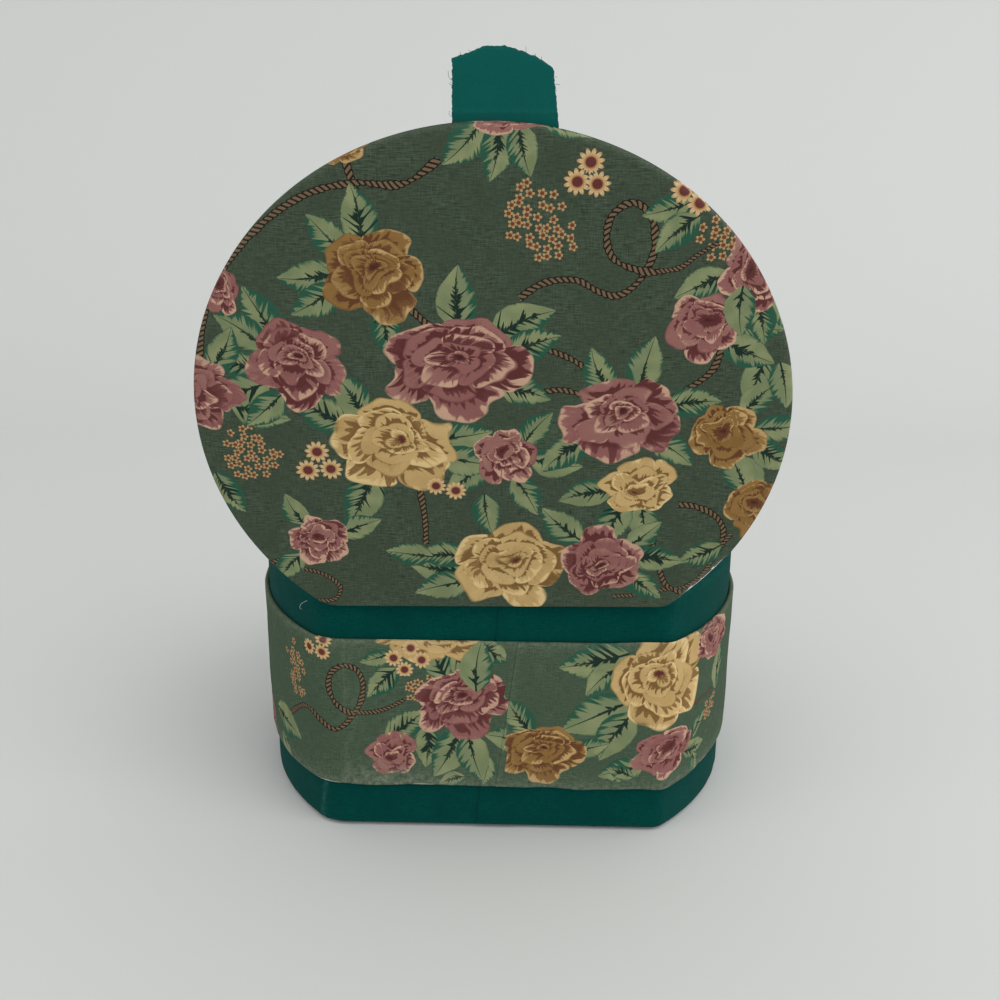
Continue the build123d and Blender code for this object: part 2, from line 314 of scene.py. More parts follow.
# Two cuts of the print, in mm. A rose is x, y, half width, half height, turn in degrees, colour, layer and
# the ways that its leaves point. A daisy is x, y and radius, and so is a patch of blossom. A leaf is x, y,
# way and length, and those under "over" lie above the roses. A cord is its width, as a share, and its points.
LID_CUT = {
    "tile": (190, 190),
    "roses": [
        (-11, 17, 18.0, 14.0, 5, PINK, 0, (78, 38, 12, 335)),
        (-28, -7, 16.5, 13.5, -8, CREAM, 1, (150, 128, 12, 348, 236)),
        (-30, 42, 12.5, 11.5, 20, OCHRE, 1, (170, 142, 112, 276, 196)),
        (-52, 17, 12.5, 12.0, -20, PINK, 1, (118, 150, 182, 212, 240)),
        (3, -10, 8.0, 8.5, 40, PINK, 0, (2, 40, 205, 290)),
        (34, 2, 15.5, 12.0, 12, PINK, 0, (112, 66, 216, 328, 20)),
        (40, -18, 10.0, 8.5, 190, CREAM, 1, (198, 246, 282)),
        (63, -2, 9.0, 10.0, 60, OCHRE, 1, (18, 340, 64, 300)),
        (52.5, 29.5, 9.0, 9.0, -30, PINK, 0, (4, 330)),
        (66, 45, 10.0, 9.5, 100, PINK, 1, (272, 300)),
        (4, -47.5, 16.0, 15.0, 15, CREAM, 0, (184, 164, 206)),
        (31, -44, 11.0, 11.0, 200, PINK, 1, (132, 2, 328, 32)),
        (-51, -39, 8.5, 8.0, 10, PINK, 0, (22, 222, 120)),
        (-79, 9, 10.0, 11.0, 70, PINK, 0, (18, 338, 60)),
        (-70, 38, 4.5, 6.5, 0, PINK, 0, ()),
        (74, -26, 8.5, 10.0, 30, OCHRE, 0, (122,)),
        (3, 87, 12.0, 8.5, 185, PINK, 0, (222, 335)),
        (-38, 77, 7.5, 5.5, 160, OCHRE, 1, ()),
    ],
    "daisies": [
        (22.6, 71.6, 3.5), (19.6, 66.9, 3.5), (24.4, 66.4, 3.4), (45.3, 65, 3.6), (49.3, 62, 3.6),
        (-49, -9, 3.6),
        (-52, -15, 3.6), (-45.6, -14.5, 3.5), (-11, -21, 3.2), (-16.5, -19.5, 3.1),
    ],
    "blossom": [(8.5, 60, 7.0), (12.5, 53, 6.8), (55, 54, 6.2), (-67, -11, 8.4)],
    "leaves": [
        (47, 62, 196, 12), (49.5, 59, 224, 14), (58.5, 44, 206, 15), (70, 22, 255, 15), (74, 20, 284, 14),
        (71, 8, 80, 14), (-78, -16, 298, 15), (-64, 24, 130, 15), (65, -38, 208, 14), (-74, -2, 75, 15),
        (40, -39, 345, 14), (74, 34, 285, 14), (-3, -22, 280, 14), (0.5, 80.5, 262, 14),
        (5.5, 80.5, 283, 13),
        (-18, -44, 172, 14), (-19, -50, 210, 13),
    ],
    "over": [(62, 41, 275, 14)],
    "cords": [
        (1, [(5, 36), (12, 41), (20, 42), (26, 39), (31, 38), (36, 42), (39.2, 50), (38, 58), (33.5, 62),
            (28.5, 59), (27.3, 53), (29.5, 47.5), (36, 44.7), (42, 44.2)]),
        (0.7, [(39, 44.3), (45.8, 45.5), (50, 49), (56, 53)]),
        (1, [(-79, 12), (-75, 30), (-68, 44), (-58, 55), (-46, 63), (-34, 66), (-22, 66), (-12, 73)]),
        (1, [(-36, 73), (-34, 65), (-30, 50)]),
        (1, [(-24, 36), (-15, 27)]),
        (1, [(0, 22), (11, 23), (20, 20), (27, 14), (29, 6)]),
        (1, [(0, 11), (10, 10), (18, 11), (28, 8)]),
        (1, [(59, 28), (57, 18), (51, 12), (42, 6)]),
        (1, [(-22, -14), (-20, -30), (-20, -42)]),
        (1, [(50, -24.5), (56, -25), (62, -28), (65, -33), (64.5, -38.5)]),
        (1, [(45.4, -34), (45.3, -41), (48.2, -48), (49.6, -51.8), (51.6, -53.9), (57, -56.5)]),
        (0.75, [(68, -33), (65.1, -38.2), (63, -43.5), (60, -49.5), (56, -53.3), (50, -54.6),
            (42.9, -56.5), (33, -57.5)]),
        (0.8, [(-68, -47.3), (-60.3, -49), (-54.5, -49.5), (-49.5, -51.5), (-46, -55.5), (-47.3, -59.6),
            (-51, -60.9), (-57, -60)]),
        (0.8, [(-68, -48.5), (-65, -46.8), (-61, -45.6), (-55, -45.6)]),
    ],
}
# The wrap's cloth is taken from two places of the print, which meet at its seam
WRAP_CUT = {
    "tile": (290, 110),
    "roses": [
        (14.5, 29, 12.5, 9.5, 5, OCHRE, 0, (110,)),
        (53, 55, 16.5, 15.5, 80, CREAM, 0, ()),
        (77.5, 61, 7.0, 11.0, 80, PINK, 1, ()),
        (54.5, 29, 10.5, 8.0, 12, PINK, 1, (206, 340)),
        (192, 46.5, 14.5, 11.5, 15, PINK, 1, (92, 118)),
        (183, 69, 16.0, 8.5, 0, CREAM, 0, (345, 318)),
        (170, 28.5, 7.6, 7.4, 190, PINK, 0, ()),
        (107, 20, 5.5, 7.0, 190, PINK, 0, ()),
        (222, 30, 11.0, 9.0, 40, CREAM, 0, (20, 160, 250)),
        (243, 58, 12.0, 10.0, 100, PINK, 1, (30, 200, 300)),
        (262, 27, 13.0, 10.0, 0, PINK, 0, (60, 150, 340)),
        (277, 61, 10.0, 8.0, 60, OCHRE, 1, (200, 330, 90)),
    ],
    "daisies": [
        (171.1, 61.5, 3.1), (176.4, 65, 3.1), (179.7, 61, 3.1), (174.4, 57.6, 3.0), (144.6, 63, 2.8),
        (149.3, 62.6, 2.8), (149.8, 66.8, 2.8), (237, 37, 3.3), (242, 33, 3.3), (236.5, 31, 3.2),
        (221, 59, 3.4),
    ],
    "blossom": [
        (176.2, 51, 3.9), (184, 53.5, 3.3), (135.7, 55.5, 5.4), (136.6, 47, 4.6), (77.4, 36, 4.6),
        (254, 46, 5.5),
    ],
    "leaves": [
        (41, 64, 193, 22), (39, 60, 224, 15), (42, 48, 207, 24), (43, 44, 240, 20), (25, 30, 15, 12),
        (66, 30, 42, 10), (67, 24, 285, 10), (83, 40, 88, 18), (44, 21, 160, 9),
        (181, 38, 268, 15), (191, 37, 245, 19), (194, 36, 285, 18), (200, 28, 262, 11), (193, 20, 200, 9),
        (168, 34, 38, 16), (170, 63, 198, 10), (172, 58, 228, 14), (184, 58, 40, 12),
        (118, 30, 352, 20), (121, 22, 325, 12), (226, 70, 250, 14), (212, 48, 80, 14),
    ],
    "over": [(196.5, 50.5, 84, 18)],
    "cords": [
        (0.95, [(127, 29), (130.2, 33), (136, 38), (140.6, 40.8), (144.4, 40.8), (148, 38.5),
            (151.8, 36.2), (154.9, 37.5), (157.5, 40.8), (160.5, 46), (161.4, 52.5), (159.6, 57.2),
            (155.4, 58.6), (151.8, 55.8), (151, 50.5), (153, 45.2), (157, 42.2), (162, 42)]),
        (0.8, [(158, 42.2), (165, 42.8), (170.6, 45), (176, 48.5)]),
        (0.65, [(59, 43.5), (64, 42.5), (69.4, 42), (75, 42.2), (81, 41.8)]),
        (0.8, [(206, 54), (214, 50), (224, 45), (234, 45), (244, 41), (251, 35)]),
    ],
}
CORD_WIDTH = 2.1  # mm
LEAF_WIDTH = 0.31  # half its width, of its length


def leaf_width(x):
    """Half a leaf's width, as a share of its length, at a share of the way from base to tip."""
    return LEAF_WIDTH * np.sin(pi * np.clip(x, 0, 1) ** 0.8) ** 0.9


def grown_leaves(cut):
    """Leaves that spread from under the roses, each in the first layer where it clears the others."""
    rng = np.random.default_rng(7)
    at = np.linspace(0.06, 0.94, 8)
    made, layers = [], [[], [], []]
    wanted = []
    for x, y, a, b, spin, _, _, ways in cut["roses"]:
        for way in ways:
            turn = radians(way)
            across, up = cos(turn - radians(spin)) / a, sin(turn - radians(spin)) / b
            base = np.array([x, y]) + 0.76 / sqrt(across**2 + up**2) * np.array([cos(turn), sin(turn)])
            length = max(14, 9.5 + 0.5 * sqrt(a * b)) * rng.uniform(0.85, 1.15)
            wanted.append((base, turn + rng.uniform(-0.3, 0.3), length))
    for x, y, way, length in cut["leaves"] + cut["over"]:
        wanted.append((np.array([x, y]), radians(way), length))
    for k, (base, turn, length) in enumerate(wanted):
        way = np.array([cos(turn), sin(turn)])
        discs = np.c_[base + at[:, None] * length * way, (leaf_width(at) + 0.03) * length]
        side = 1 if rng.uniform() < 0.5 else -1
        code = 1 + int(rng.integers(3)) + rng.uniform(0, 0.99)
        if k >= len(wanted) - len(cut["over"]):
            made.append((3, discs, base, turn, length, side, 1.145))
            continue
        for layer, others in enumerate(layers):
            gaps = []
            for other in others:
                gap = wrapped(discs[:, None, :2] - other[None, :, :2], cut["tile"])
                gaps.append(np.hypot(gap[..., 0], gap[..., 1]) - discs[:, None, 2] - other[None, :, 2])
            if all(gap.min() > 1.2 for gap in gaps):
                others.append(discs)
                made.append((layer, discs, base, turn, length, side, code))
                break
    return made


def wrapped(offset, tile):
    """The same offset on a tile that repeats, the shortest way round."""
    return offset - tile * np.round(offset / tile)


def spline(points, step=0.25):
    """A smooth line through points, cut into even steps."""
    p = np.array(points, float)
    p = np.r_[[2 * p[0] - p[1]], p, [2 * p[-1] - p[-2]]]
    t = np.linspace(0, 1, 40, endpoint=False)[:, None]
    line = [
        b + t * (c - a) / 2 + t**2 * (a - 2.5 * b + 2 * c - d / 2) + t**3 * (1.5 * (b - c) + (d - a) / 2)
        for a, b, c, d in zip(p, p[1:], p[2:], p[3:])
    ]
    line = np.r_[np.concatenate(line), [p[-2]]]
    far = along(line)
    even = np.arange(0, far[-1], step)
    return np.stack([np.interp(even, far, line[:, k]) for k in (0, 1)], 1)


def mark(x, y, turn, size, code, discs, side=1):
    """One motif of the print. The discs that it covers are x, y and radius."""
    discs = np.array(discs)
    return {"at": np.array([x, y]), "turn": turn, "size": size, "code": code, "discs": discs, "side": side}


def print_layers(cut):
    """The marks of each layer of the print."""
    layers = {name: [] for name in ("leaf_0", "leaf_1", "leaf_2", "rose_0", "rose_1", "leaf_3", "small")}
    rng = np.random.default_rng(3)
    for x, y, a, b, turn, colour, layer, _ in cut["roses"]:
        # Large roses have more rings of petals, which the code's fraction tells
        code = colour + rng.uniform(0.02, 0.48) + (0.5 if a * b > 95 else 0)
        reach = [(x, y, 1.25 * max(a, b))]
        layers[f"rose_{layer}"].append(mark(x, y, radians(turn), (1.1 * a, 1.1 * b), code, reach))
    for layer, discs, base, turn, length, side, code in grown_leaves(cut):
        layers[f"leaf_{layer}"].append(mark(*base, turn, length, code, discs, side))
    for x, y, r in cut["daisies"]:
        turn = rng.uniform(0, 6)
        layers["small"].append(mark(x, y, turn, r, 1 + rng.uniform(0, 0.99), [(x, y, 1.05 * r)]))
    for x, y, r in cut["blossom"]:
        layers["small"].append(mark(x, y, 0, 1, 2 + r / 10, [(x, y, 1.35 * r)]))
    return layers


def printed(piece, cut, shift=(0, 0), seam=0.0, round_=0.0):
    """Writes where each corner of a printed piece lies on the mark of the print that covers it, in one
    attribute for each layer: two lengths and a code. Cloth before the seam comes from its far end."""
    mesh, tile = piece.data, np.array(cut["tile"])
    sides = np.empty(len(mesh.polygons), int)
    mesh.polygons.foreach_get("loop_total", sides)
    uv = np.empty(2 * len(mesh.loops), np.float32)
    mesh.uv_layers["cloth"].uv.foreach_get("vector", uv)
    uv = uv.reshape(-1, 2).astype(float)
    face = np.repeat(np.arange(len(sides)), sides)
    starts = np.r_[0, np.cumsum(sides)[:-1]]
    uv[(np.add.reduceat(uv, starts) / sides[:, None])[face, 0] < seam, 0] += round_
    uv += shift
    centre = np.add.reduceat(uv, starts) / sides[:, None]

    written = {name: on_marks(marks, uv, centre, face, tile) for name, marks in print_layers(cut).items()}
    halves = [[], []]
    for share, points in cut["cords"]:
        line = spline(points)
        far, half = 0.25 * np.arange(len(line)), len(line) // 2
        halves[0].append((line[: half + 14], far[: half + 14], share))
        halves[1].append((line[half - 14 :], far[half - 14 :], share))
    for k, half in enumerate(halves):
        written[f"cord_{k}"] = on_cords(half, uv, centre, face, tile)
    for name, values in written.items():
        layer = mesh.attributes.new(name, "FLOAT_VECTOR", "CORNER")
        layer.data.foreach_set("vector", values.astype(np.float32).ravel())


def on_marks(marks, uv, centre, face, tile):
    """Where each corner lies on the mark nearest its face: along and across it as shares of its size, and its
    code, or 0 away from every mark."""
    best, which = np.full(len(centre), 9.0), np.zeros(len(centre), int)
    for k, m in enumerate(marks):
        gap = wrapped(centre[:, None] - m["discs"][None, :, :2], tile)
        gap = (np.hypot(gap[..., 0], gap[..., 1]) - m["discs"][:, 2]).min(1)
        nearer = gap < best
        best[nearer], which[nearer] = gap[nearer], k
    values = np.full((len(uv), 3), 9.0)
    values[:, 2] = 0
    on = (best < 1.9)[face]
    chosen = which[face[on]]
    at = np.array([m["at"] for m in marks])[chosen]
    turn = np.array([m["turn"] for m in marks])[chosen]
    size = np.array([np.broadcast_to(m["size"], 2) for m in marks])[chosen]
    middle = centre[face[on]]
    offset = wrapped(middle - at, tile) + uv[on] - middle
    values[on, 0] = (offset[:, 0] * np.cos(turn) + offset[:, 1] * np.sin(turn)) / size[:, 0]
    values[on, 1] = (offset[:, 1] * np.cos(turn) - offset[:, 0] * np.sin(turn)) / size[:, 1]
    values[on, 1] *= np.array([m["side"] for m in marks])[chosen]
    values[on, 2] = np.array([m["code"] for m in marks])[chosen]
    return values


def on_cords(cords, uv, centre, face, tile):
    """Where each corner lies on the cord nearest its face: along and across it in mm of the widest cord, and
    1, or 0 away from every cord."""
    values = np.full((len(uv), 3), 9.0)
    values[:, 2] = 0
    nearest = np.full(len(centre), 9.0)
    for line, far, share in cords:
        gap = wrapped(centre[:, None] - line[None, ::4], tile)
        gap = np.hypot(gap[..., 0], gap[..., 1])
        spot = 4 * gap.argmin(1)
        gap = gap.min(1)
        take = (gap < CORD_WIDTH / 2 + 1.6) & (gap < nearest) & (spot > 5) & (spot < len(line) - 8)
        nearest[take] = gap[take]
        on = take[face]
        near = np.clip(spot[face[on]][:, None] + np.arange(-12, 13), 1, len(line) - 2)
        middle = centre[face[on]]
        offset = wrapped(middle[:, None] - line[near], tile) + (uv[on] - middle)[:, None]
        pick = np.hypot(offset[..., 0], offset[..., 1]).argmin(1)
        rows = np.arange(len(pick))
        at, offset = near[rows, pick], offset[rows, pick]
        way = line[at + 1] - line[at - 1]
        way /= np.linalg.norm(way, axis=1)[:, None]
        values[on, 0] = (far[at] + (offset * way).sum(1)) / share
        values[on, 1] = (offset[:, 1] * way[:, 0] - offset[:, 0] * way[:, 1]) / share
        values[on, 2] = 1
    return values


# Materials


def add(tree, kind, *inputs, named=None, **settings):
    """Adds a node with its settings. Its kind may end with a Mix node's data type or another's operation. An
    input is a socket to link, a value, or None to leave it. Returns the node's first output in use."""
    kind, _, way = kind.partition(" ")
    if way:
        settings["data_type" if kind == "Mix" else "operation"] = way
    node = tree.nodes.new(kind if kind.startswith("Node") else "ShaderNode" + kind)
    for name, value in settings.items():
        setattr(node, name, value)
    pairs = list(zip([s for s in node.inputs if s.enabled], inputs))
    pairs += [(node.inputs[name], value) for name, value in (named or {}).items()]
    for socket, value in pairs:
        if isinstance(value, bpy.types.NodeSocket):
            tree.links.new(value, socket)
        elif value is not None:
            socket.default_value = (*linear(value), 1) if isinstance(value, str) else value
    return next((s for s in node.outputs if s.enabled), None)


def inks(ramp, stops):
    """Sets the stops of a colour ramp, as (place, colour)."""
    band = ramp.node.color_ramp
    while len(band.elements) < len(stops):
        band.elements.new(1)
    for element, (place, colour) in zip(band.elements, stops):
        element.position = place
        element.color = (*linear(colour), 1)
    return ramp


def group(name, outputs):
    """A node group with one vector in and these sockets out. Returns it and its vector's three parts."""
    tree = bpy.data.node_groups.new(name, "ShaderNodeTree")
    tree.interface.new_socket("Place", in_out="INPUT", socket_type="NodeSocketVector")
    for label, kind in outputs:
        tree.interface.new_socket(label, in_out="OUTPUT", socket_type="NodeSocket" + kind)
    return tree, add(tree, "SeparateXYZ", add(tree, "NodeGroupInput")).node.outputs


# A rose's rings: how far each reaches, its petals and how deep the notches between them are
RINGS = [(1.0, 5, 0.22), (0.77, 5, 0.22), (0.56, 4, 0.24), (0.38, 3, 0.26), (0.21, 3, 0.3)]
# Each rose colour's inks, from its darkest strokes to its palest lips
ROSE_INKS = (
    (PINK, ("#482626", "#5d3433", "#7a4e4c", "#895b58", "#90675f", "#c09c84")),
    (CREAM, ("#5a2c2c", "#775a36", "#9b8052", "#b89a67", "#c2a572", "#d4b985")),
    (OCHRE, ("#4a2b24", "#613f2b", "#76572f", "#846339", "#8d6e42", "#b89a6a")),
)


def petal_ring(tree, k, inner, seed, angle, r, strokes, bold, cloud):
    """The tone of a rose's ring k of petals, and where it covers. inner is how far out the next ring hides
    it, as a share of its reach."""
    size, petals, notch = RINGS[k]
    phase = add(tree, "Math MULTIPLY", seed, 1.7 * (k + 1))
    turn = add(tree, "Math MULTIPLY_ADD", angle, petals / 2, phase)
    lobe = add(tree, "Math ABSOLUTE", add(tree, "Math COSINE", turn))
    petal = add(tree, "Math ROUND", add(tree, "Math DIVIDE", turn, pi))
    petal = add(tree, "Math FLOORED_MODULO", petal, float(petals))
    petal = add(tree, "Math ADD", petal, add(tree, "Math ADD", seed, 7.3 * k))
    luck = add(tree, "TexWhiteNoise", petal, noise_dimensions="1D")
    chance, other, third = add(tree, "SeparateXYZ", luck.node.outputs["Color"]).node.outputs
    edge = add(tree, "Math POWER", lobe, 0.55)
    edge = add(tree, "Math MULTIPLY_ADD", edge, size * notch, size * (1 - notch))
    reach = add(tree, "Math DIVIDE", r, edge)
    inside = add(tree, "MapRange", reach, 1.0, 1 - 0.03 / size)
    up = add(tree, "MapRange", reach, inner, 1.0, clamp=False)
    # Dark strokes, longest beside the notches
    length = add(tree, "Math MULTIPLY_ADD", chance, 0.75, 0.5 if k == 0 else 0.35)
    length = add(tree, "Math MULTIPLY_ADD", lobe, -0.35, length)
    stroke = add(tree, "Math MULTIPLY_ADD", strokes[0], 1.25, 0.1)
    stroke = add(tree, "Math MULTIPLY", add(tree, "Math MULTIPLY", stroke, bold), length)
    dark = add(tree, "MapRange", add(tree, "Math SUBTRACT", stroke, up), -0.03, 0.05)
    # Pale lips on some petals
    lip = add(tree, "Math MULTIPLY_ADD", cloud, 0.45, other)
    lip = add(tree, "MapRange", lip, 0.55, 1.1, 0.0, 0.66)
    lip = add(tree, "Math MULTIPLY", add(tree, "Math MULTIPLY_ADD", strokes[1], 0.85, 0.25), lip)
    down = add(tree, "Math SUBTRACT", 1.0, up)
    pale = add(tree, "MapRange", add(tree, "Math SUBTRACT", lip, down), -0.03, 0.14)
    rim = add(tree, "MapRange", reach, 0.94, 0.97)
    level = add(tree, "Math MULTIPLY_ADD", third, 0.16, 0.42)
    level = add(tree, "Math MULTIPLY_ADD", cloud, 0.08, level)
    level = add(tree, "Math MULTIPLY_ADD", rim, -0.18, level)
    level = add(tree, "Mix FLOAT", pale, level, 0.9)
    level = add(tree, "Mix FLOAT", dark, level, 0.1)
    return level, inside


def rose_group():
    """A rose, a little from above: rings of scalloped petals round a heart off its centre. Dark strokes fan
    out from the base of each petal and pale ones in from some of the lips. Three colourings."""
    tree, (x, y, code) = group("Rose", [("Colour", "Color"), ("Mask", "Float")])
    seed = add(tree, "Math FRACT", code)
    large = add(tree, "Math GREATER_THAN", seed, 0.5)
    bold = add(tree, "Math MULTIPLY_ADD", large, 0.22, 0.78)
    seed = add(tree, "Math MULTIPLY", seed, 40.0)
    flat = add(tree, "CombineXYZ", x, y, seed)
    sway = add(tree, "TexNoise", flat, named={"Scale": 1.6, "Detail": 1.0}).node.outputs["Color"]
    sway = add(tree, "VectorMath SUBTRACT", sway, (0.5, 0.5, 0.5))
    there = add(tree, "CombineXYZ", x, y, 0.0)
    there = add(tree, "VectorMath MULTIPLY_ADD", sway, (0.55, 0.55, 0.0), there)
    inward = add(tree, "VectorMath LENGTH", there).node.outputs["Value"]
    inward = add(tree, "Math SUBTRACT", 1.0, inward, use_clamp=True)
    heart = add(tree, "VectorMath SCALE", (-0.06, -0.3, 0.0), named={"Scale": inward})
    there = add(tree, "VectorMath ADD", there, heart)
    r = add(tree, "VectorMath LENGTH", there).node.outputs["Value"]
    px, py, _ = add(tree, "SeparateXYZ", there).node.outputs
    angle = add(tree, "Math ARCTAN2", py, px)
    way = add(tree, "VectorMath NORMALIZE", there)
    strokes = []
    for fine, deep in ((7.5, 0.0), (9.5, 9.0)):
        depth = add(tree, "Math MULTIPLY_ADD", r, 1.6, add(tree, "Math ADD", seed, deep))
        depth = add(tree, "CombineXYZ", 0.0, 0.0, depth)
        brush = add(tree, "VectorMath MULTIPLY_ADD", way, (fine, fine, 0.0), depth)
        comb = add(tree, "TexNoise", brush, named={"Scale": 1.0, "Detail": 1.0})
        strokes.append(add(tree, "MapRange", comb, 0.3, 0.7))
    cloud = add(tree, "TexNoise", flat, named={"Scale": 2.3, "Detail": 2.0})
    cloud = add(tree, "MapRange", cloud, 0.35, 0.65)
    tone, mask = 0.5, None
    for k, (size, _, _) in enumerate(RINGS):
        inner = 0.9 * (RINGS[k + 1][0] / size if k + 1 < len(RINGS) else 0.3)
        level, inside = petal_ring(tree, k, inner, seed, angle, r, strokes, bold, cloud)
        if k == 0:
            tone, mask = level, inside
        else:
            shown = add(tree, "Math MULTIPLY", inside, large) if k > 3 else inside
            tone = add(tree, "Mix FLOAT", shown, tone, level)
    eye = add(tree, "MapRange", add(tree, "Math MULTIPLY_ADD", strokes[0], 0.1, r), 0.14, 0.11)
    tone = add(tree, "Mix FLOAT", eye, tone, 0.0)
    colour = None
    for kind, shades in ROSE_INKS:
        places = (0.0, 0.12 if kind == PINK else 0.1, 0.34, 0.5, 0.62, 0.9)
        ink = inks(add(tree, "ValToRGB", tone), list(zip(places, shades)))
        chosen = add(tree, "Math GREATER_THAN", code, float(kind))
        colour = ink if colour is None else add(tree, "Mix RGBA", chosen, colour, ink)
    add(tree, "NodeGroupOutput", colour, mask)
    return tree


def leaf_group():
    """A rose leaf from its base at x 0 to its tip at x 1: sage, with a comb of deep green in from its rim and
    dark strokes that feather out from its midrib. Three kinds, which differ in how much of each they have."""
    tree, (x, y, code) = group("Leaf", [("Colour", "Color"), ("Mask", "Float")])
    seed = add(tree, "Math FRACT", code)
    kind = add(tree, "Math SUBTRACT", add(tree, "Math FLOOR", code), 1.0)
    bend = add(tree, "Math MULTIPLY_ADD", seed, 0.6, -0.3)
    bow = add(tree, "Math MULTIPLY", x, add(tree, "Math SUBTRACT", x, 1.0))
    y = add(tree, "Math MULTIPLY_ADD", bend, bow, y)
    off = add(tree, "Math ABSOLUTE", y)
    width = add(tree, "Math POWER", add(tree, "Math MAXIMUM", x, 0.0), 0.8)
    width = add(tree, "Math SINE", add(tree, "Math MULTIPLY", width, pi))
    width = add(tree, "Math POWER", add(tree, "Math MAXIMUM", width, 0.0), 0.9)
    tooth = add(tree, "Math MULTIPLY_ADD", x, 7.0, y)
    tooth = add(tree, "TexNoise", tooth, noise_dimensions="1D", named={"Scale": 1.0})
    tooth = add(tree, "Math MULTIPLY_ADD", tooth, 0.08, LEAF_WIDTH - 0.05)
    width = add(tree, "Math MAXIMUM", add(tree, "Math MULTIPLY", width, tooth), 0.001)
    share = add(tree, "Math DIVIDE", off, width)
    mask = add(tree, "MapRange", share, 1.0, 0.94)
    side = add(tree, "MapRange", y, -0.02, 0.02)
    deep = add(tree, "Math MULTIPLY", seed, 60.0)
    # Strokes slant forward, as the veins of a leaf do
    lean = add(tree, "Math MULTIPLY_ADD", off, -0.9, x)
    lean = add(tree, "Math MULTIPLY", lean, 17.0)
    brush = add(tree, "CombineXYZ", lean, add(tree, "Math MULTIPLY_ADD", side, 5.0, off), deep)
    comb = add(tree, "TexNoise", brush, named={"Scale": 1.0, "Detail": 1.0})
    comb = add(tree, "MapRange", comb, 0.3, 0.7)
    cloud = add(tree, "TexNoise", add(tree, "CombineXYZ", x, y, deep), named={"Scale": 3.0, "Detail": 1.0})
    colour = add(tree, "Mix RGBA", add(tree, "MapRange", cloud, 0.35, 0.65), "#727d5a", "#858c66")
    colour = add(tree, "Mix RGBA", add(tree, "Math MULTIPLY", side, 0.4), colour, "#67765a")
    much = add(tree, "Math FRACT", add(tree, "Math MULTIPLY", seed, 7.0))
    much = add(tree, "Math MULTIPLY_ADD", much, 0.45, add(tree, "Math MULTIPLY_ADD", side, 0.42, -0.06))
    much = add(tree, "Math MULTIPLY_ADD", cloud, 0.5, add(tree, "Math SUBTRACT", much, 0.17))
    rim = add(tree, "Math MULTIPLY", add(tree, "Math MULTIPLY_ADD", comb, 1.1, 0.25), much)
    rim = add(tree, "Math SUBTRACT", rim, add(tree, "Math SUBTRACT", 1.0, share))
    rim = add(tree, "MapRange", rim, -0.06, 0.16)
    colour = add(tree, "Mix RGBA", rim, colour, "#2c5442")
    last = add(tree, "Math MULTIPLY_ADD", kind, 0.12, 0.62)
    fade = add(tree, "MapRange", x, 0.06, 0.2)
    last = add(tree, "MapRange", add(tree, "Math SUBTRACT", last, x), 0.0, 0.4)
    fade = add(tree, "Math MULTIPLY", fade, last)
    spread = add(tree, "Math MULTIPLY_ADD", kind, 0.22, 0.46)
    feather = add(tree, "Math MULTIPLY", add(tree, "Math POWER", comb, 2.2), spread)
    feather = add(tree, "Math MULTIPLY", add(tree, "Math ADD", feather, 0.05), fade)
    ink = add(tree, "MapRange", add(tree, "Math SUBTRACT", feather, share), -0.02, 0.04)
    spine = add(tree, "Math MULTIPLY_ADD", x, -0.016, 0.018)
    spine = add(tree, "MapRange", add(tree, "Math SUBTRACT", spine, off), -0.003, 0.003)
    ink = add(tree, "Math MAXIMUM", ink, spine)
    colour = add(tree, "Mix RGBA", ink, colour, "#1f3029")
    add(tree, "NodeGroupOutput", colour, mask)
    return tree


def cord_group():
    """Twisted cord: x runs along it and y across it, in mm of the widest cord. Brown strands that slant, dark
    between them and along both sides, and not quite even, as it is drawn by hand."""
    tree, (x, y, code) = group("Cord", [("Colour", "Color"), ("Mask", "Float")])
    off = add(tree, "Math ABSOLUTE", y)
    uneven = add(tree, "TexNoise", x, noise_dimensions="1D", named={"Scale": 0.16, "Detail": 1.0})
    turn = add(tree, "Math MULTIPLY_ADD", x, 0.66, add(tree, "Math MULTIPLY", y, 0.5))
    turn = add(tree, "Math FRACT", turn)
    bulge = add(tree, "Math SINE", add(tree, "Math MULTIPLY", turn, pi))
    half = add(tree, "Math MULTIPLY_ADD", uneven, 1.0, CORD_WIDTH / 2 - 0.72)
    edge = add(tree, "Math MULTIPLY_ADD", bulge, 0.22, half)
    inset = add(tree, "Math SUBTRACT", edge, off)
    mask = add(tree, "Math MULTIPLY", add(tree, "MapRange", inset, 0.0, 0.08), code)
    fill = add(tree, "MapRange", inset, 0.28, 0.4)
    fill = add(tree, "Math MULTIPLY", fill, add(tree, "MapRange", bulge, 0.42, 0.66))
    colour = add(tree, "Mix RGBA", bulge, "#4f4035", "#725f4b")
    colour = add(tree, "Mix RGBA", fill, "#221e18", colour)
    add(tree, "NodeGroupOutput", colour, mask)
    return tree


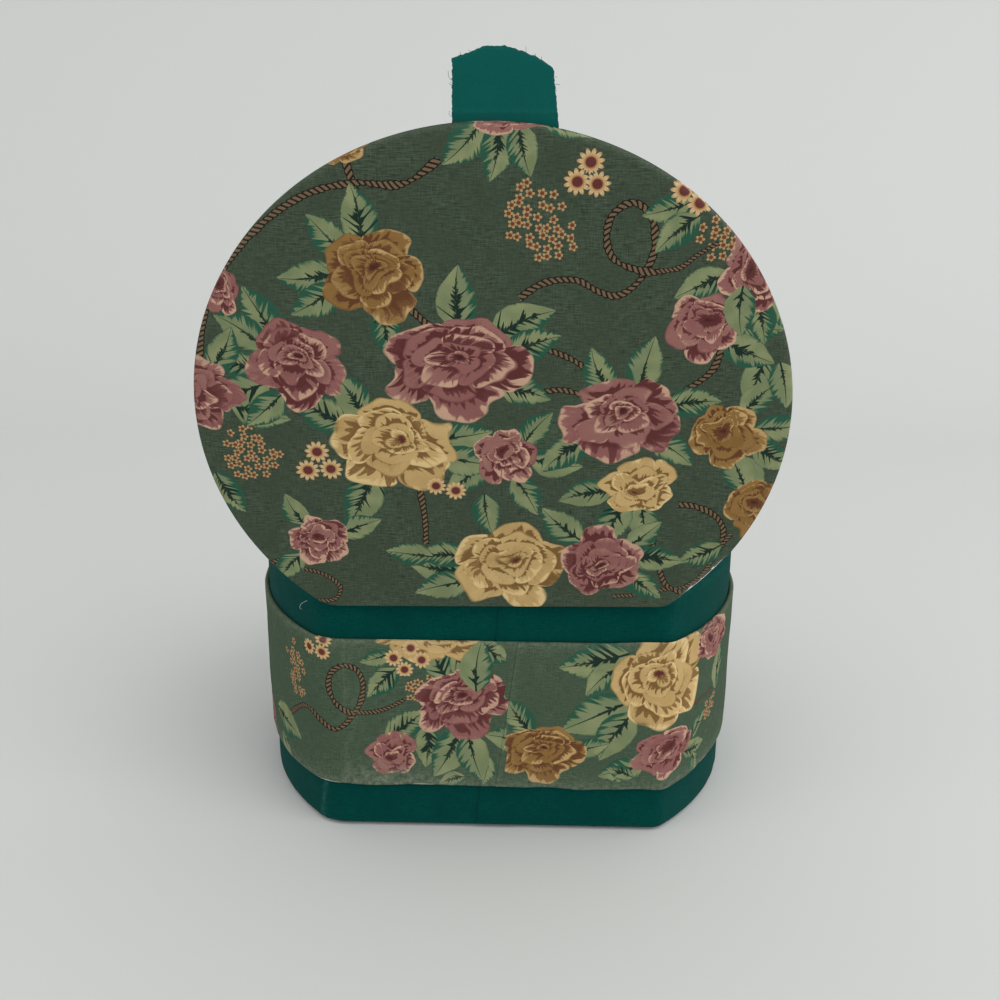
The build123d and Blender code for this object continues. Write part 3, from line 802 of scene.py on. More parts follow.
def weave(tree, cloth, pitch):
    """Plain weave from cloth places in mm: how high the threads stand, 0 to 1, each pitch wide."""
    sway = add(tree, "TexNoise", cloth, named={"Scale": 0.9, "Detail": 1.0}).node.outputs["Color"]
    at = add(tree, "VectorMath MULTIPLY_ADD", sway, (0.7, 0.7, 0), cloth)
    at = add(tree, "VectorMath MULTIPLY", at, (1 / pitch, 1 / pitch, 0))
    u, v, _ = add(tree, "SeparateXYZ", at).node.outputs
    over = []
    for a, b, phase in ((u, v, 0.0), (v, u, pi)):
        thread = add(tree, "Math SINE", add(tree, "Math MULTIPLY", a, pi))
        thread = add(tree, "Math ABSOLUTE", thread)
        turn = add(tree, "Math ADD", add(tree, "Math FLOOR", a), b)
        turn = add(tree, "Math MULTIPLY_ADD", turn, pi, phase)
        rise = add(tree, "Math MULTIPLY_ADD", add(tree, "Math SINE", turn), 0.5, 0.5)
        over.append(add(tree, "Math MULTIPLY", thread, rise))
    return add(tree, "Math MAXIMUM", *over)


def woven(tree, cloth, base, pitch, slubs):
    """The colour of plain-woven cotton before any ink, and how high its threads stand: dye that took a little
    unevenly, with short lengths of thicker, paler thread, most of them across and in patches."""
    threads = weave(tree, cloth, pitch)
    patches = add(tree, "TexNoise", cloth, named={"Scale": 0.09, "Detail": 3.0})
    amount = add(tree, "MapRange", patches, 0.3, 0.7, 0.9, 1.1)
    grain = add(tree, "TexNoise", cloth, named={"Scale": 1.4, "Detail": 2.0})
    amount = add(tree, "Math ADD", add(tree, "MapRange", grain, 0.3, 0.7, -0.09, 0.09), amount)
    many = add(tree, "MapRange", patches, 0.42, 0.58, 0.4 * slubs, slubs)
    for across, up, weight in ((0.35, 2.8, 1.0), (2.6, 0.3, 0.4)):
        at = add(tree, "VectorMath MULTIPLY", cloth, (across, up, 0))
        slub = add(tree, "TexNoise", at, named={"Scale": 1.0, "Detail": 1.0})
        slub = add(tree, "MapRange", slub, 0.45, 0.72, -0.3, weight, clamp=False)
        amount = add(tree, "Math MULTIPLY_ADD", slub, many, amount)
    colour = add(tree, "VectorMath SCALE", tuple(base), named={"Scale": amount})
    return colour, threads


def rubbed_and_highlit(tree, cloth, colour, threads, pale):
    """Shows the threads through a colour, and pales it where the cloth is marked: wear, and on the base
    band's crease and the wrap's turned edges a painted highlight as well.
    """
    show = add(tree, "Math MULTIPLY_ADD", threads, 0.24, 0.89)
    colour = add(tree, "VectorMath SCALE", colour, named={"Scale": show})
    wear_and_highlight = add(tree, "Attribute", attribute_name="wear_and_highlight").node.outputs["Fac"]
    fuzz = add(tree, "TexNoise", cloth, named={"Scale": 0.7, "Detail": 4.0, "Roughness": 0.7})
    rub = add(tree, "Math MULTIPLY", add(tree, "MapRange", fuzz, 0.35, 0.7), wear_and_highlight)
    return add(tree, "Mix RGBA", rub, colour, pale)


def shader(material, colour, roughness, height=None, rise=0.0, sheen=0.0):
    """Sets a material's colour and finish, with bump where the threads or fibres rise, in mm."""
    tree = material.node_tree
    bsdf = tree.nodes["Principled BSDF"]
    if isinstance(colour, str):
        bsdf.inputs["Base Color"].default_value = (*linear(colour), 1)
    else:
        tree.links.new(colour, bsdf.inputs["Base Color"])
    bsdf.inputs["Roughness"].default_value = roughness
    bsdf.inputs["Specular IOR Level"].default_value = 0.02
    bsdf.inputs["Sheen Weight"].default_value = sheen
    if height is not None:
        bump = add(tree, "Bump", named={"Distance": rise * MM, "Height": height})
        tree.links.new(bump, bsdf.inputs["Normal"])


def new_material(name):
    material = bpy.data.materials.new(name)
    material.use_nodes = True
    return material, material.node_tree


def blossom(tree, cloth, flat, code, colour):
    """Draws blossom over a colour: whole star-shaped florets whose middles lie in a ragged patch."""
    spacing = {"Scale": 0.4, "Randomness": 0.7}
    cells = add(tree, "TexVoronoi", cloth, voronoi_dimensions="2D", named=spacing).node
    floret = add(tree, "VectorMath SUBTRACT", cloth, cells.outputs["Position"])
    middle = add(tree, "VectorMath SUBTRACT", flat, floret)
    middle = add(tree, "VectorMath LENGTH", middle).node.outputs["Value"]
    size = add(tree, "Math MULTIPLY", add(tree, "Math FRACT", code), 10.0)
    patch = add(tree, "TexNoise", cells.outputs["Position"], named={"Scale": 0.23, "Detail": 1.0})
    patch = add(tree, "Math MULTIPLY_ADD", patch, -1.6, 1.75)
    patch = add(tree, "Math LESS_THAN", middle, add(tree, "Math MULTIPLY", size, patch))
    patch = add(tree, "Math MULTIPLY", patch, add(tree, "Math GREATER_THAN", code, 2.0))
    fx, fy, _ = add(tree, "SeparateXYZ", floret).node.outputs
    lobes = add(tree, "Math MULTIPLY", add(tree, "Math ARCTAN2", fy, fx), 2.5)
    lobes = add(tree, "Math ABSOLUTE", add(tree, "Math COSINE", lobes))
    lobes = add(tree, "Math MULTIPLY_ADD", lobes, 0.72, 0.52)
    far = add(tree, "VectorMath LENGTH", floret).node.outputs["Value"]
    star = add(tree, "MapRange", add(tree, "Math SUBTRACT", far, lobes), 0.05, -0.05)
    eye = add(tree, "MapRange", far, 0.62, 0.45)
    peach = add(tree, "Mix RGBA", eye, "#ac8b62", "#6c3f2e")
    return add(tree, "Mix RGBA", add(tree, "Math MULTIPLY", star, patch), colour, peach)


def daisies(tree, x, y, code, spread, colour):
    """Draws daisies with narrow petals over a colour."""
    lobes = add(tree, "Math MULTIPLY", add(tree, "Math ARCTAN2", y, x), 5.5)
    lobes = add(tree, "Math ABSOLUTE", add(tree, "Math COSINE", lobes))
    lobes = add(tree, "Math MULTIPLY_ADD", lobes, 0.42, 0.58)
    share = add(tree, "Math DIVIDE", spread, lobes)
    petal = add(tree, "MapRange", share, 1.0, 0.93)
    kind = add(tree, "Math COMPARE", add(tree, "Math FLOOR", code), 1.0, 0.1)
    petal = add(tree, "Math MULTIPLY", petal, kind)
    stops = [(0.34, "#5f3434"), (0.38, "#9a6c40"), (0.52, "#be9c6e"), (0.72, "#c8ad84"), (0.95, "#ab8552")]
    return add(tree, "Mix RGBA", petal, colour, inks(add(tree, "ValToRGB", spread), stops))


def printed_cotton(colours):
    """Cotton dress fabric, printed with inks on a sage ground: matt, with its thread showing through the ink
    and paler at its worn folds, where the wrap's turned edges also carry a painted highlight. The wrap's
    ground is paler, partly from fading and partly as painted light, for the upright wrap lit more than the
    lid."""
    material, tree = new_material("Printed cotton")
    cloth = add(tree, "UVMap", uv_map="cloth")
    # Threads 0.42 mm apart, about 24 to the centimetre, as in dress cotton
    colour, threads = woven(tree, cloth, colours.ground, 0.42, 0.32)
    # Partly fading, partly painted light: the wrap's ground is mixed paler, for the upright wrap lit more
    # than the lid
    faded = add(tree, "Attribute", attribute_name="faded").node.outputs["Fac"]
    colour = add(tree, "Mix RGBA", add(tree, "Math MULTIPLY", faded, 0.07), colour, "#6f9a72")

    small = add(tree, "Attribute", attribute_name="small").node.outputs["Vector"]
    x, y, code = add(tree, "SeparateXYZ", small).node.outputs
    flat = add(tree, "CombineXYZ", x, y, 0.0)
    spread = add(tree, "VectorMath LENGTH", flat).node.outputs["Value"]
    colour = blossom(tree, cloth, flat, code, colour)

    cord, leaf, rose = cord_group(), leaf_group(), rose_group()
    drawn = [("cord", cord, 0), ("cord", cord, 1), ("leaf", leaf, 0), ("leaf", leaf, 1), ("leaf", leaf, 2)]
    drawn += [("rose", rose, 0), ("rose", rose, 1), ("leaf", leaf, 3)]
    for name, what, layer in drawn:
        at = add(tree, "Attribute", attribute_name=f"{name}_{layer}").node.outputs["Vector"]
        ink = tree.nodes.new("ShaderNodeGroup")
        ink.node_tree = what
        tree.links.new(at, ink.inputs[0])
        colour = add(tree, "Mix RGBA", ink.outputs["Mask"], colour, ink.outputs["Colour"])

    colour = daisies(tree, x, y, code, spread, colour)
    colour = rubbed_and_highlit(tree, cloth, colour, threads, "#868c7b")
    shader(material, colour, 0.95, threads, 0.05, 0.02)
    return material


def plain_cotton(colours):
    """Plain-woven cotton dyed deep green: matt and fine, with paler worn folds, and on the base band's crease
    a painted highlight too. The tab takes a paler green than the other pieces: painted light, for the tab lit
    brighter than the wall below it."""
    material, tree = new_material("Dyed plain cotton")
    cloth = add(tree, "UVMap", uv_map="cloth")
    # Threads 0.38 mm apart, about 26 to the centimetre
    colour, threads = woven(tree, cloth, colours.green, 0.38, 0.16)
    faded = add(tree, "Attribute", attribute_name="faded").node.outputs["Fac"]
    # Painted light: pieces with the attribute, the tab's two layers, take the paler green, for the tab lit
    # brighter than the wall
    colour = add(tree, "Mix RGBA", faded, colour, (*colours.faded, 1))
    colour = rubbed_and_highlit(tree, cloth, colour, threads, "#2f6a62")
    shader(material, colour, 0.95, threads, 0.05, 0.03)
    return material


def board(name, face, fleck, scale):
    """Board or card: matt, felted from short fibres, with flecks of another shade. scale is how many flecks
    there are to a metre."""
    material, tree = new_material(name)
    at = add(tree, "TexCoord").node.outputs["Object"]
    fibres = add(tree, "TexNoise", at, named={"Scale": scale, "Detail": 6.0, "Roughness": 0.7})
    amount = add(tree, "MapRange", fibres, 0.35, 0.7)
    colour = add(tree, "Mix RGBA", amount, face, fleck)
    shader(material, colour, 0.92, fibres, 0.05)
    return material


class KeepsakeColours(bpy.types.PropertyGroup):
    green: bpy.props.FloatVectorProperty(
        name="Plain cotton",
        description="Dyed colour of the plain cotton",
        subtype="COLOR",
        default=linear("#003d38"),
    )
    # The tab's paler green: painted light, for the tab lit brighter than the wall below it
    faded: bpy.props.FloatVectorProperty(
        name="Cotton painted paler",
        description="Colour of the plain cotton where it has faded",
        subtype="COLOR",
        default=linear("#0f554f"),
    )
    ground: bpy.props.FloatVectorProperty(
        name="Print ground",
        description="Colour behind the printed flowers",
        subtype="COLOR",
        default=linear("#414d3f"),
    )
    floor: bpy.props.FloatVectorProperty(
        name="Stage",
        description="Colour of the floor and backdrop",
        subtype="COLOR",
        default=linear("#caccca"),
    )


class KeepsakeSizes(bpy.types.PropertyGroup):
    cloth: bpy.props.FloatProperty(
        name="Cloth", description="Thickness of the cotton", default=0.0003, unit="LENGTH", precision=5
    )
    step: bpy.props.FloatProperty(
        name="Mesh step",
        description="Longest side of a face of cloth",
        default=0.00125,
        unit="LENGTH",
        precision=5,
    )


def sheet_rows(shape, corners, step, seam=None):
    """Rows of points swept round a plan along a line of corners, with how far round and along each is, and
    the way out of the plan at each station."""
    q, s = stations(shape, step, seam)
    line = bent(corners, step)
    out = ring(shape, 0.01, q) - ring(shape, 0, q)
    out /= np.linalg.norm(out, axis=1)[:, None]
    uv = np.stack(np.broadcast_arrays(s[None, :], along(line)[:, None]), 2).copy()
    return s, line, swept(shape, line, q), out, uv


def smooth(x):
    """Eases from 0 to 1."""
    x = np.clip(x, 0, 1)
    return x * x * (3 - 2 * x)


def lapped(s, line, rows, uv, at, slope, middle, lap):
    """Slants the seam near the place at on the flat side, and returns how far out the cloth that laps over it
    stands, as a share of its thickness."""
    lean = slope * (line[:, 1] - middle)[:, None] * smooth(1.6 - abs(s[:-1] - at) / 12)
    rows[:, :, 0] += lean
    uv[:, :-1, 0] += lean
    past = s[:-1] - at
    return np.where(past > 0, 1 - smooth((past - lap) / 2), 0)


class KEEPSAKE_OT_wall_cloth(bpy.types.Operator):
    """Makes the plain cotton over the wall, turned over the rim and under the base"""

    bl_idname = "keepsake.wall_cloth"
    bl_label = "Wall cloth"

    def execute(self, context):
        thick = context.scene.keepsake_sizes.cloth / MM
        corners = [(-12, 1.1, 0), (0, 1.1, 0.8), (0, RIM, 0.8), (-2.6, RIM, 0.7), (-2.6, RIM - 12, 0)]
        s, line, rows, out, uv = sheet_rows(BOX, corners, 1.6, -2.2)
        seam = -2.2 + FLAT_LEFT
        high = lapped(s, line, rows, uv, seam, 0.09, 40, 11)[None, :] * thick
        outside = ((line[:, 0] > -0.9) & (line[:, 1] > 1.5)).astype(float)
        lift = high + 0.05 * waves(s[None, :-1], line[:, 1:], 11, 6, 40, s[-1])
        # A crease pressed into the left corner of the base band; its ridge is painted paler, partly as rub
        # and partly as a painted highlight
        fold = s[-1] - 6.6 - (15.7 - line[:, 1]) * 0.17
        ridge = np.exp(-(((s[None, :-1] - fold[:, None]) / 0.7) ** 2)) * (line[:, 1] < 17)[:, None]
        lift = lift + 0.22 * ridge
        rows[:, :, :2] += (lift * outside[:, None])[:, :, None] * out
        piece = skin("wall_cloth_sewn", rows, uv)
        edge = np.exp(-abs(line[:, 1] - RIM) / 1.2) * (line[:, 0] > -1.2)
        edge = edge + 0.8 * np.exp(-abs(line[:, 1] - 1.1) / 1.0)
        # The crease's pale ridge is partly wear, partly a painted highlight
        note(piece, "wear_and_highlight", np.clip(0.2 * edge[:, None] + 0.9 * ridge, 0, 1))
        finished(piece, "box", "Dyed plain cotton", ["wall_cloth"], thick)
        return {"FINISHED"}


class KEEPSAKE_OT_wrap_cloth(bpy.types.Operator):
    """Makes the printed cotton over the band round the wall"""

    bl_idname = "keepsake.wrap_cloth"
    bl_label = "Wrap cloth"

    def execute(self, context):
        sizes = context.scene.keepsake_sizes
        thick = sizes.cloth / MM
        corners = [(0.03, WRAP_LOW + HEM, 0), (0.03, WRAP_LOW, 0.75), (WRAP_OUT, WRAP_LOW, 0.8)]
        corners += [(WRAP_OUT, WRAP_TOP, 0.75), (0.03, WRAP_TOP, 0.75), (0.03, WRAP_TOP - HEM, 0)]
        s, line, rows, out, uv = sheet_rows(BOX, corners, sizes.step / MM, 3.8)
        seam = 3.8 + FLAT_LEFT
        period = s[-1]
        place, up = s[None, :-1] - FLAT_LEFT, line[:, 1:]
        high = lapped(s, line, rows, uv, seam, 0.127, 41.5, 10)[None, :] * thick
        outside = smooth((line[:, 0] - 0.5) / 0.8)[:, None]
        lift = high + 0.10 * waves(s[None, :-1], line[:, 1:], 21, 8, 45, period)
        rows[:, :, :2] += (lift * outside)[:, :, None] * out
        low = np.exp(-abs(up - WRAP_LOW) / 3) * outside
        top = np.exp(-abs(up - WRAP_TOP) / 3) * outside
        rows[:, :, 2] += low * 0.28 * waves(s[:-1], 0, 22, 9, 60, period)
        rows[:, :, 2] += top * 0.10 * waves(s[:-1], 0, 23, 12, 60, period)
        # It is a little wider at the right end of the flat side
        rows[:, :, 2] += 0.9 * top * np.exp(-(((place - 50) / 14) ** 2))
        rows[:, :, 2] -= 0.7 * low * np.exp(-(((place - 38) / 18) ** 2))
        piece = skin("wrap_cloth_printed", rows, uv)
        # Paler along its turned edges: partly wear, partly a painted highlight where the folds catch the
        # light
        edge = np.exp(-abs(up - WRAP_LOW) / 2.2) + 0.6 * np.exp(-abs(up - WRAP_TOP) / 1.5)
        lap = np.exp(-abs(s[:-1] - seam - 0.3) / 0.4)
        # Scuffs at the lower left, and lengthwise rubs near the left corner
        scuff = np.exp(-(((place + 33) / 16) ** 2) - ((up - 19) / 5) ** 2)
        scuff = scuff * (0.4 + 0.6 * waves(place, up, 24, 1.5, 6))
        rub = np.exp(-(((place + 46) / 5) ** 2)) * np.clip(waves(place, up / 9, 25, 0.8, 3), 0, 1)
        worn = 0.8 * (edge + 0.5 * lap) + 0.9 * np.clip(scuff, 0, 1) + 0.22 * rub
        note(piece, "wear_and_highlight", np.clip(worn * outside, 0, 1))
        # The whole wrap is marked paler: partly fading, partly painted light for the upright wrap lit more
        # than the lid
        note(piece, "faded", np.ones(rows.shape[:2]))
        first = np.argmax(line[:, 0] > WRAP_OUT - 0.05)
        shift = (ring(BOX, 0, np.zeros(1))[0, 0], line[first, 1] - along(line)[first])
        printed(piece, WRAP_CUT, shift, seam, period)
        finished(piece, "box", "Printed cotton", ["wrap_cloth"], thick)
        return {"FINISHED"}


class KEEPSAKE_OT_lid_cloth(bpy.types.Operator):
    """Makes the printed cotton over the lid, turned round its edge"""

    bl_idname = "keepsake.lid_cloth"
    bl_label = "Lid cloth"

    def execute(self, context):
        sizes = context.scene.keepsake_sizes
        step, thick = sizes.step / MM, sizes.cloth / MM
        q, s = stations(LID, step, worn_to=2.08)
        line = bent([(-12, LID_UNDER, 0), (0, LID_UNDER, 0.5), (0, 83.3, 0)], step)
        line = np.r_[line, bent([(0, 83.3, 0), (0, LID_TOP, 0.9), (-3, LID_TOP, 0)], 0.4)[1:]]
        rows = swept(LID, line, q)
        # Small tucks take up the fullness of the turned hem where the edge is round
        under = smooth((-line[:, 0] - 0.6) / 5) * (line[:, 1] < LID_UNDER + 0.1)
        tuck = np.clip(np.sin(2 * pi * s[:-1] / s[-1] * 42) - 0.25, 0, 1) * ((q > 1.9) & (q < 3.1))
        rows[:, :, 2] -= 0.26 * under[:, None] * tuck
        middle = np.array([LID[4], MIDDLE_Y, LID_TOP])
        rows = np.r_[rows, filled(rows[-1], middle, step)]
        # The print lies flat on the top and runs on round the edge
        past = along(line)[-1] - along(line) - 3
        flat = np.array([ring(LID, x, q) for x in past] + [r[:, :2] for r in rows[len(line) :]])
        top = np.r_[smooth((line[:, 1] - LID_TOP + 0.5) / 0.5), np.ones(len(rows) - len(line))]
        rows[:, :, 2] += 0.07 * top[:, None] * waves(flat[..., 0], flat[..., 1], 31, 12, 70)
        uv = np.concatenate([flat, flat[:, :1]], 1)
        # The cloth has worn through along the edge at the lower right, down to the white board
        round_ = np.degrees(np.arctan2(flat[0, :, 1], flat[0, :, 0] - LID[4])) % 360
        worn = np.clip(1 - abs((round_ - WORN_AT) / WORN_HALF) ** 4, 0, 1)[None, :]
        inward = np.r_[past, np.linspace(-3, -60, len(rows) - len(line))][:, None]
        rough = 0.14 * waves(flat[..., 0], flat[..., 1], 32, 1.2, 3.5)
        hole = (inward > -1.4 * worn + 0.1 + rough) & (inward < 2.1 * worn + rough) & (worn > 0.02)
        holes = hole[:-1] & hole[1:] & np.roll(hole, -1, 1)[:-1] & np.roll(hole, -1, 1)[1:]
        tip = (opened(middle), middle[:2], False)
        piece = skin("lid_cloth_printed", opened(rows), uv, tip, holes=holes)
        edge = np.exp(-abs(inward - 0.3) / 1.3)
        fray = 0.6 * np.exp(-abs(inward + 1.4 * worn) / 0.4) * (worn > 0.02)
        note(piece, "wear_and_highlight", np.clip(0.15 * edge + fray, 0, 1))
        printed(piece, LID_CUT)
        finished(piece, "lid", "Printed cotton", ["lid_cloth"], thick)
        return {"FINISHED"}


def line_wall(thick):
    """Cloth over the card inside the wall, turned behind it at its top and foot, with one overlap."""
    back, front = LINING_BACK, LINING_FRONT
    corners = [(back, LINING_TOP - HEM, 0), (back, LINING_TOP, 0.65), (front, LINING_TOP, 0.65)]
    corners += [(front, LINING_LOW, 0.65), (back, LINING_LOW, 0.65), (back, LINING_LOW + HEM, 0)]
    s, line, rows, out, uv = sheet_rows(BOX, corners, 2.0, 20.0)
    high = lapped(s, line, rows, uv, 20.0 + FLAT_LEFT, 0.0, 40, 9)[None, :] * -thick * 0.8
    inside = (line[:, 0] < front + 0.1).astype(float)[:, None]
    lift = (high + 0.06 * waves(s[None, :-1], line[:, 1:], 41, 8, 50, s[-1])) * inside
    rows[:, :, :2] += lift[:, :, None] * out
    piece = skin("wall_lining_sewn", rows, uv)
    wear_and_highlight = 0.5 * np.exp(-abs(line[:, 1:] - LINING_TOP) / 1.5)
    note(piece, "wear_and_highlight", np.broadcast_to(wear_and_highlight, rows.shape[:2]))
    finished(piece, "box", "Dyed plain cotton", ["wall_lining_cloth"], thick)


def line_lid(thick):
    """Cloth over the card inside the lid, turned round its edge."""
    q, _ = stations(BOX, 2.0)
    corners = [(PANEL_EDGE - 3, LINING_TOP, 0), (PANEL_EDGE, LINING_TOP, 0.6)]
    corners += [(PANEL_EDGE, PANEL_TOP, 0.4), (PANEL_EDGE - HEM, PANEL_TOP, 0)]
    line = bent(corners, 1.6)
    rows = swept(BOX, line, q)
    middle = np.array([0, MIDDLE_Y, LINING_TOP])
    rows = np.r_[filled(rows[0], middle, 2.0)[::-1], rows]
    flat = rows[:, :, :2].copy()
    under = np.clip(1 - abs(rows[:, :, 2] - LINING_TOP) / 0.3, 0, 1)
    rows[:, :, 2] += 0.05 * under * waves(flat[..., 0], flat[..., 1], 42, 12, 60)
    for k, x in enumerate(along(line) - 3):
        flat[len(rows) - len(line) + k] = ring(BOX, PANEL_EDGE + x, q)
    uv = np.concatenate([flat, flat[:, :1]], 1)
    piece = skin("lid_lining_sewn", opened(rows), uv, (opened(middle), middle[:2], True))
    reach = np.r_[np.full(len(rows) - len(line), -9.0), along(line) - 3]
    note(piece, "wear_and_highlight", np.broadcast_to(0.5 * np.exp(-abs(reach[:, None] - 0.5) / 1.2), rows.shape[:2]))
    finished(piece, "lid", "Dyed plain cotton", ["lid_lining_cloth"], thick)


def cover_bottom(thick):
    """Cloth over the card under the base, turned up round its edge."""
    q, _ = stations(BOX, 2.0)
    line = bent([(-6, 0, 0), (-3, 0, 0.35), (-3, 1.1, 0)], 1.6)
    rows = swept(BOX, line, q)
    middle = np.array([0, MIDDLE_Y, 0])
    rows = np.r_[filled(rows[0], middle, 2.0)[::-1], rows]
    flat = np.concatenate([rows[:, :, :2], rows[:, :1, :2]], 1)
    piece = skin("bottom_cloth_sewn", rows, flat, (middle, middle[:2], True))
    note(piece, "wear_and_highlight", np.zeros(rows.shape[:2]))
    finished(piece, "box", "Dyed plain cotton", ["bottom_cloth"], thick)


class KEEPSAKE_OT_linings(bpy.types.Operator):
    """Makes the plain cotton linings of the wall and the lid, and the cloth under the box"""

    bl_idname = "keepsake.linings"
    bl_label = "Linings"

    def execute(self, context):
        thick = context.scene.keepsake_sizes.cloth / MM
        line_wall(thick)
        line_lid(thick)
        cover_bottom(thick)
        return {"FINISHED"}


class KEEPSAKE_OT_floor_pad(bpy.types.Operator):
    """Makes the padded floor of the box: wadding, and plain cotton turned under its card"""

    bl_idname = "keepsake.floor_pad"
    bl_label = "Floor pad"

    def execute(self, context):
        thick = context.scene.keepsake_sizes.cloth / MM
        q, _ = stations(BOX, 2.2)
        pad = [(-8, 4.7, 0), (-4.95, 4.7, 0.3), (-4.95, 6.5, 1.4), (-8.5, 6.6, 0)]
        cover = [(-12.6, 3.4, 0), (-4.6, 3.4, 0.4), (-4.6, 6.85, 1.7), (-8.5, 6.95, 0)]
        for name, corners, node in (
            ("floor_wadding_pad", pad, "floor_wadding"),
            ("floor_cloth_sewn", cover, "floor_cloth"),
        ):
            line = bent(corners, 1.8)
            rows = swept(BOX, line, q)
            middle = np.array([0, MIDDLE_Y, rows[-1, 0, 2]])
            more = filled(rows[-1], middle, 2.2)
            # The pad is highest away from its edge and a little uneven
            inside = np.linspace(0, 1, len(more) + 1)[1:]
            uneven = waves(more[:, :, 0], more[:, :, 1], 51, 14, 60)
            more[:, :, 2] += 0.38 * smooth(inside / 0.35)[:, None]
            more[:, :, 2] += 0.07 * smooth(inside / 0.2)[:, None] * uneven
            middle[2] = more[-1, :, 2].mean()
            if name == "floor_wadding_pad":
                base = filled(rows[0], np.array([0, MIDDLE_Y, 4.7]), 8.0)[::-1]
                rows = np.r_[base, rows, more]
                flat = np.concatenate([rows[:, :, :2], rows[:, :1, :2]], 1)
                piece = skin(name, rows, flat, (middle, middle[:2], False))
                only(piece)
                bpy.ops.object.mode_set(mode="EDIT")
                bpy.ops.mesh.select_all(action="DESELECT")
                bpy.ops.mesh.select_non_manifold()
                bpy.ops.mesh.edge_face_add()
                bpy.ops.object.mode_set(mode="OBJECT")
                finished(piece, "box", "Polyester wadding", [node])
                continue
            rows = np.r_[rows, more]
            past = along(line)
            flat = np.array([ring(BOX, -8.5 + past[-1] - x, q) for x in past] + [r[:, :2] for r in more])
            piece = skin(name, rows, np.concatenate([flat, flat[:, :1]], 1), (middle, middle[:2], False))
            note(piece, "wear_and_highlight", np.zeros(rows.shape[:2]))
            finished(piece, "box", "Dyed plain cotton", [node], thick)
        return {"FINISHED"}


class KEEPSAKE_OT_hinge(bpy.types.Operator):
    """Makes the cloth hinge, one strip from behind the wall lining to under the lid lining"""

    bl_idname = "keepsake.hinge"
    bl_label = "Hinge strip"

    def execute(self, context):
        thick = context.scene.keepsake_sizes.cloth / MM
        end = opened([0, HINGE_Y + 26, HINGE_Z + 0.2])
        fold = opened([0, HINGE_Y - 0.156, HINGE_Z + 0.2])
        corners = [(-57.25, 48, 0), (-57.25, 82.15, 0.5), (fold[1], fold[2], 0.3), (end[1], end[2], 0)]
        line = bent(corners, 0.8)
        x = np.linspace(-44, 44, 45)
        rows = np.array([[(a, y, z) for a in x] for y, z in line])
        uv = np.stack(np.broadcast_arrays(x[None, :], along(line)[:, None]), 2)
        piece = skin("hinge_strip", rows, uv, closed=False)
        wear_and_highlight = 0.7 * np.exp(-np.linalg.norm(line - fold[1:], axis=1) / 1.0)
        note(piece, "wear_and_highlight", np.broadcast_to(wear_and_highlight[:, None], rows.shape[:2]))
        leaves = ["hinge_wall_leaf", "hinge_lid_leaf"]
        finished(piece, None, "Dyed plain cotton", leaves, thick, centred=True)
        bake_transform(piece)
        return {"FINISHED"}


def loose_threads(crown):
    """Lines of the threads that have come away from the tab's cut edges. crown is its far edge."""
    rng = np.random.default_rng(64)
    lines = []
    for _ in range(11):
        edge = rng.integers(3)
        if edge < 2:
            out = (-1, 1)[edge]
            start = ((-10.1, 13.6)[edge], rng.uniform(82, (94, 92)[edge]), 82.4)
            way = (out, rng.uniform(-0.6, 0.6), rng.uniform(-0.3, 0.3))
        else:
            x = rng.uniform(-9, 12)
            start = (x, np.interp(x, *crown.T), 82.4)
            way = (rng.uniform(-0.6, 0.6), 1, rng.uniform(-0.3, 0.3))
        t = np.linspace(0, 1, 7)[:, None]
        length = rng.uniform(0.4, 1.1)
        bow = np.array([rng.uniform(-0.5, 0.5), rng.uniform(-0.5, 0.5), rng.uniform(-0.3, 0.3)])
        lines.append(opened(np.array(start) + t * length * np.array(way) + t**2 * length * bow))
    for strand in (
        [(-10.9, 91.4), (-10.8, 90.2), (-10.3, 89.3)],
        [(-10.3, 89.3), (-9.9, 90), (-9.3, 90.7)],
        [(-10.7, 82.4), (-10.9, 81.6), (-10.2, 80.9)],
    ):
        strand = spline(strand, 0.2)
        lines.append(opened(np.c_[strand, np.full(len(strand), 82.9)]))
    return lines


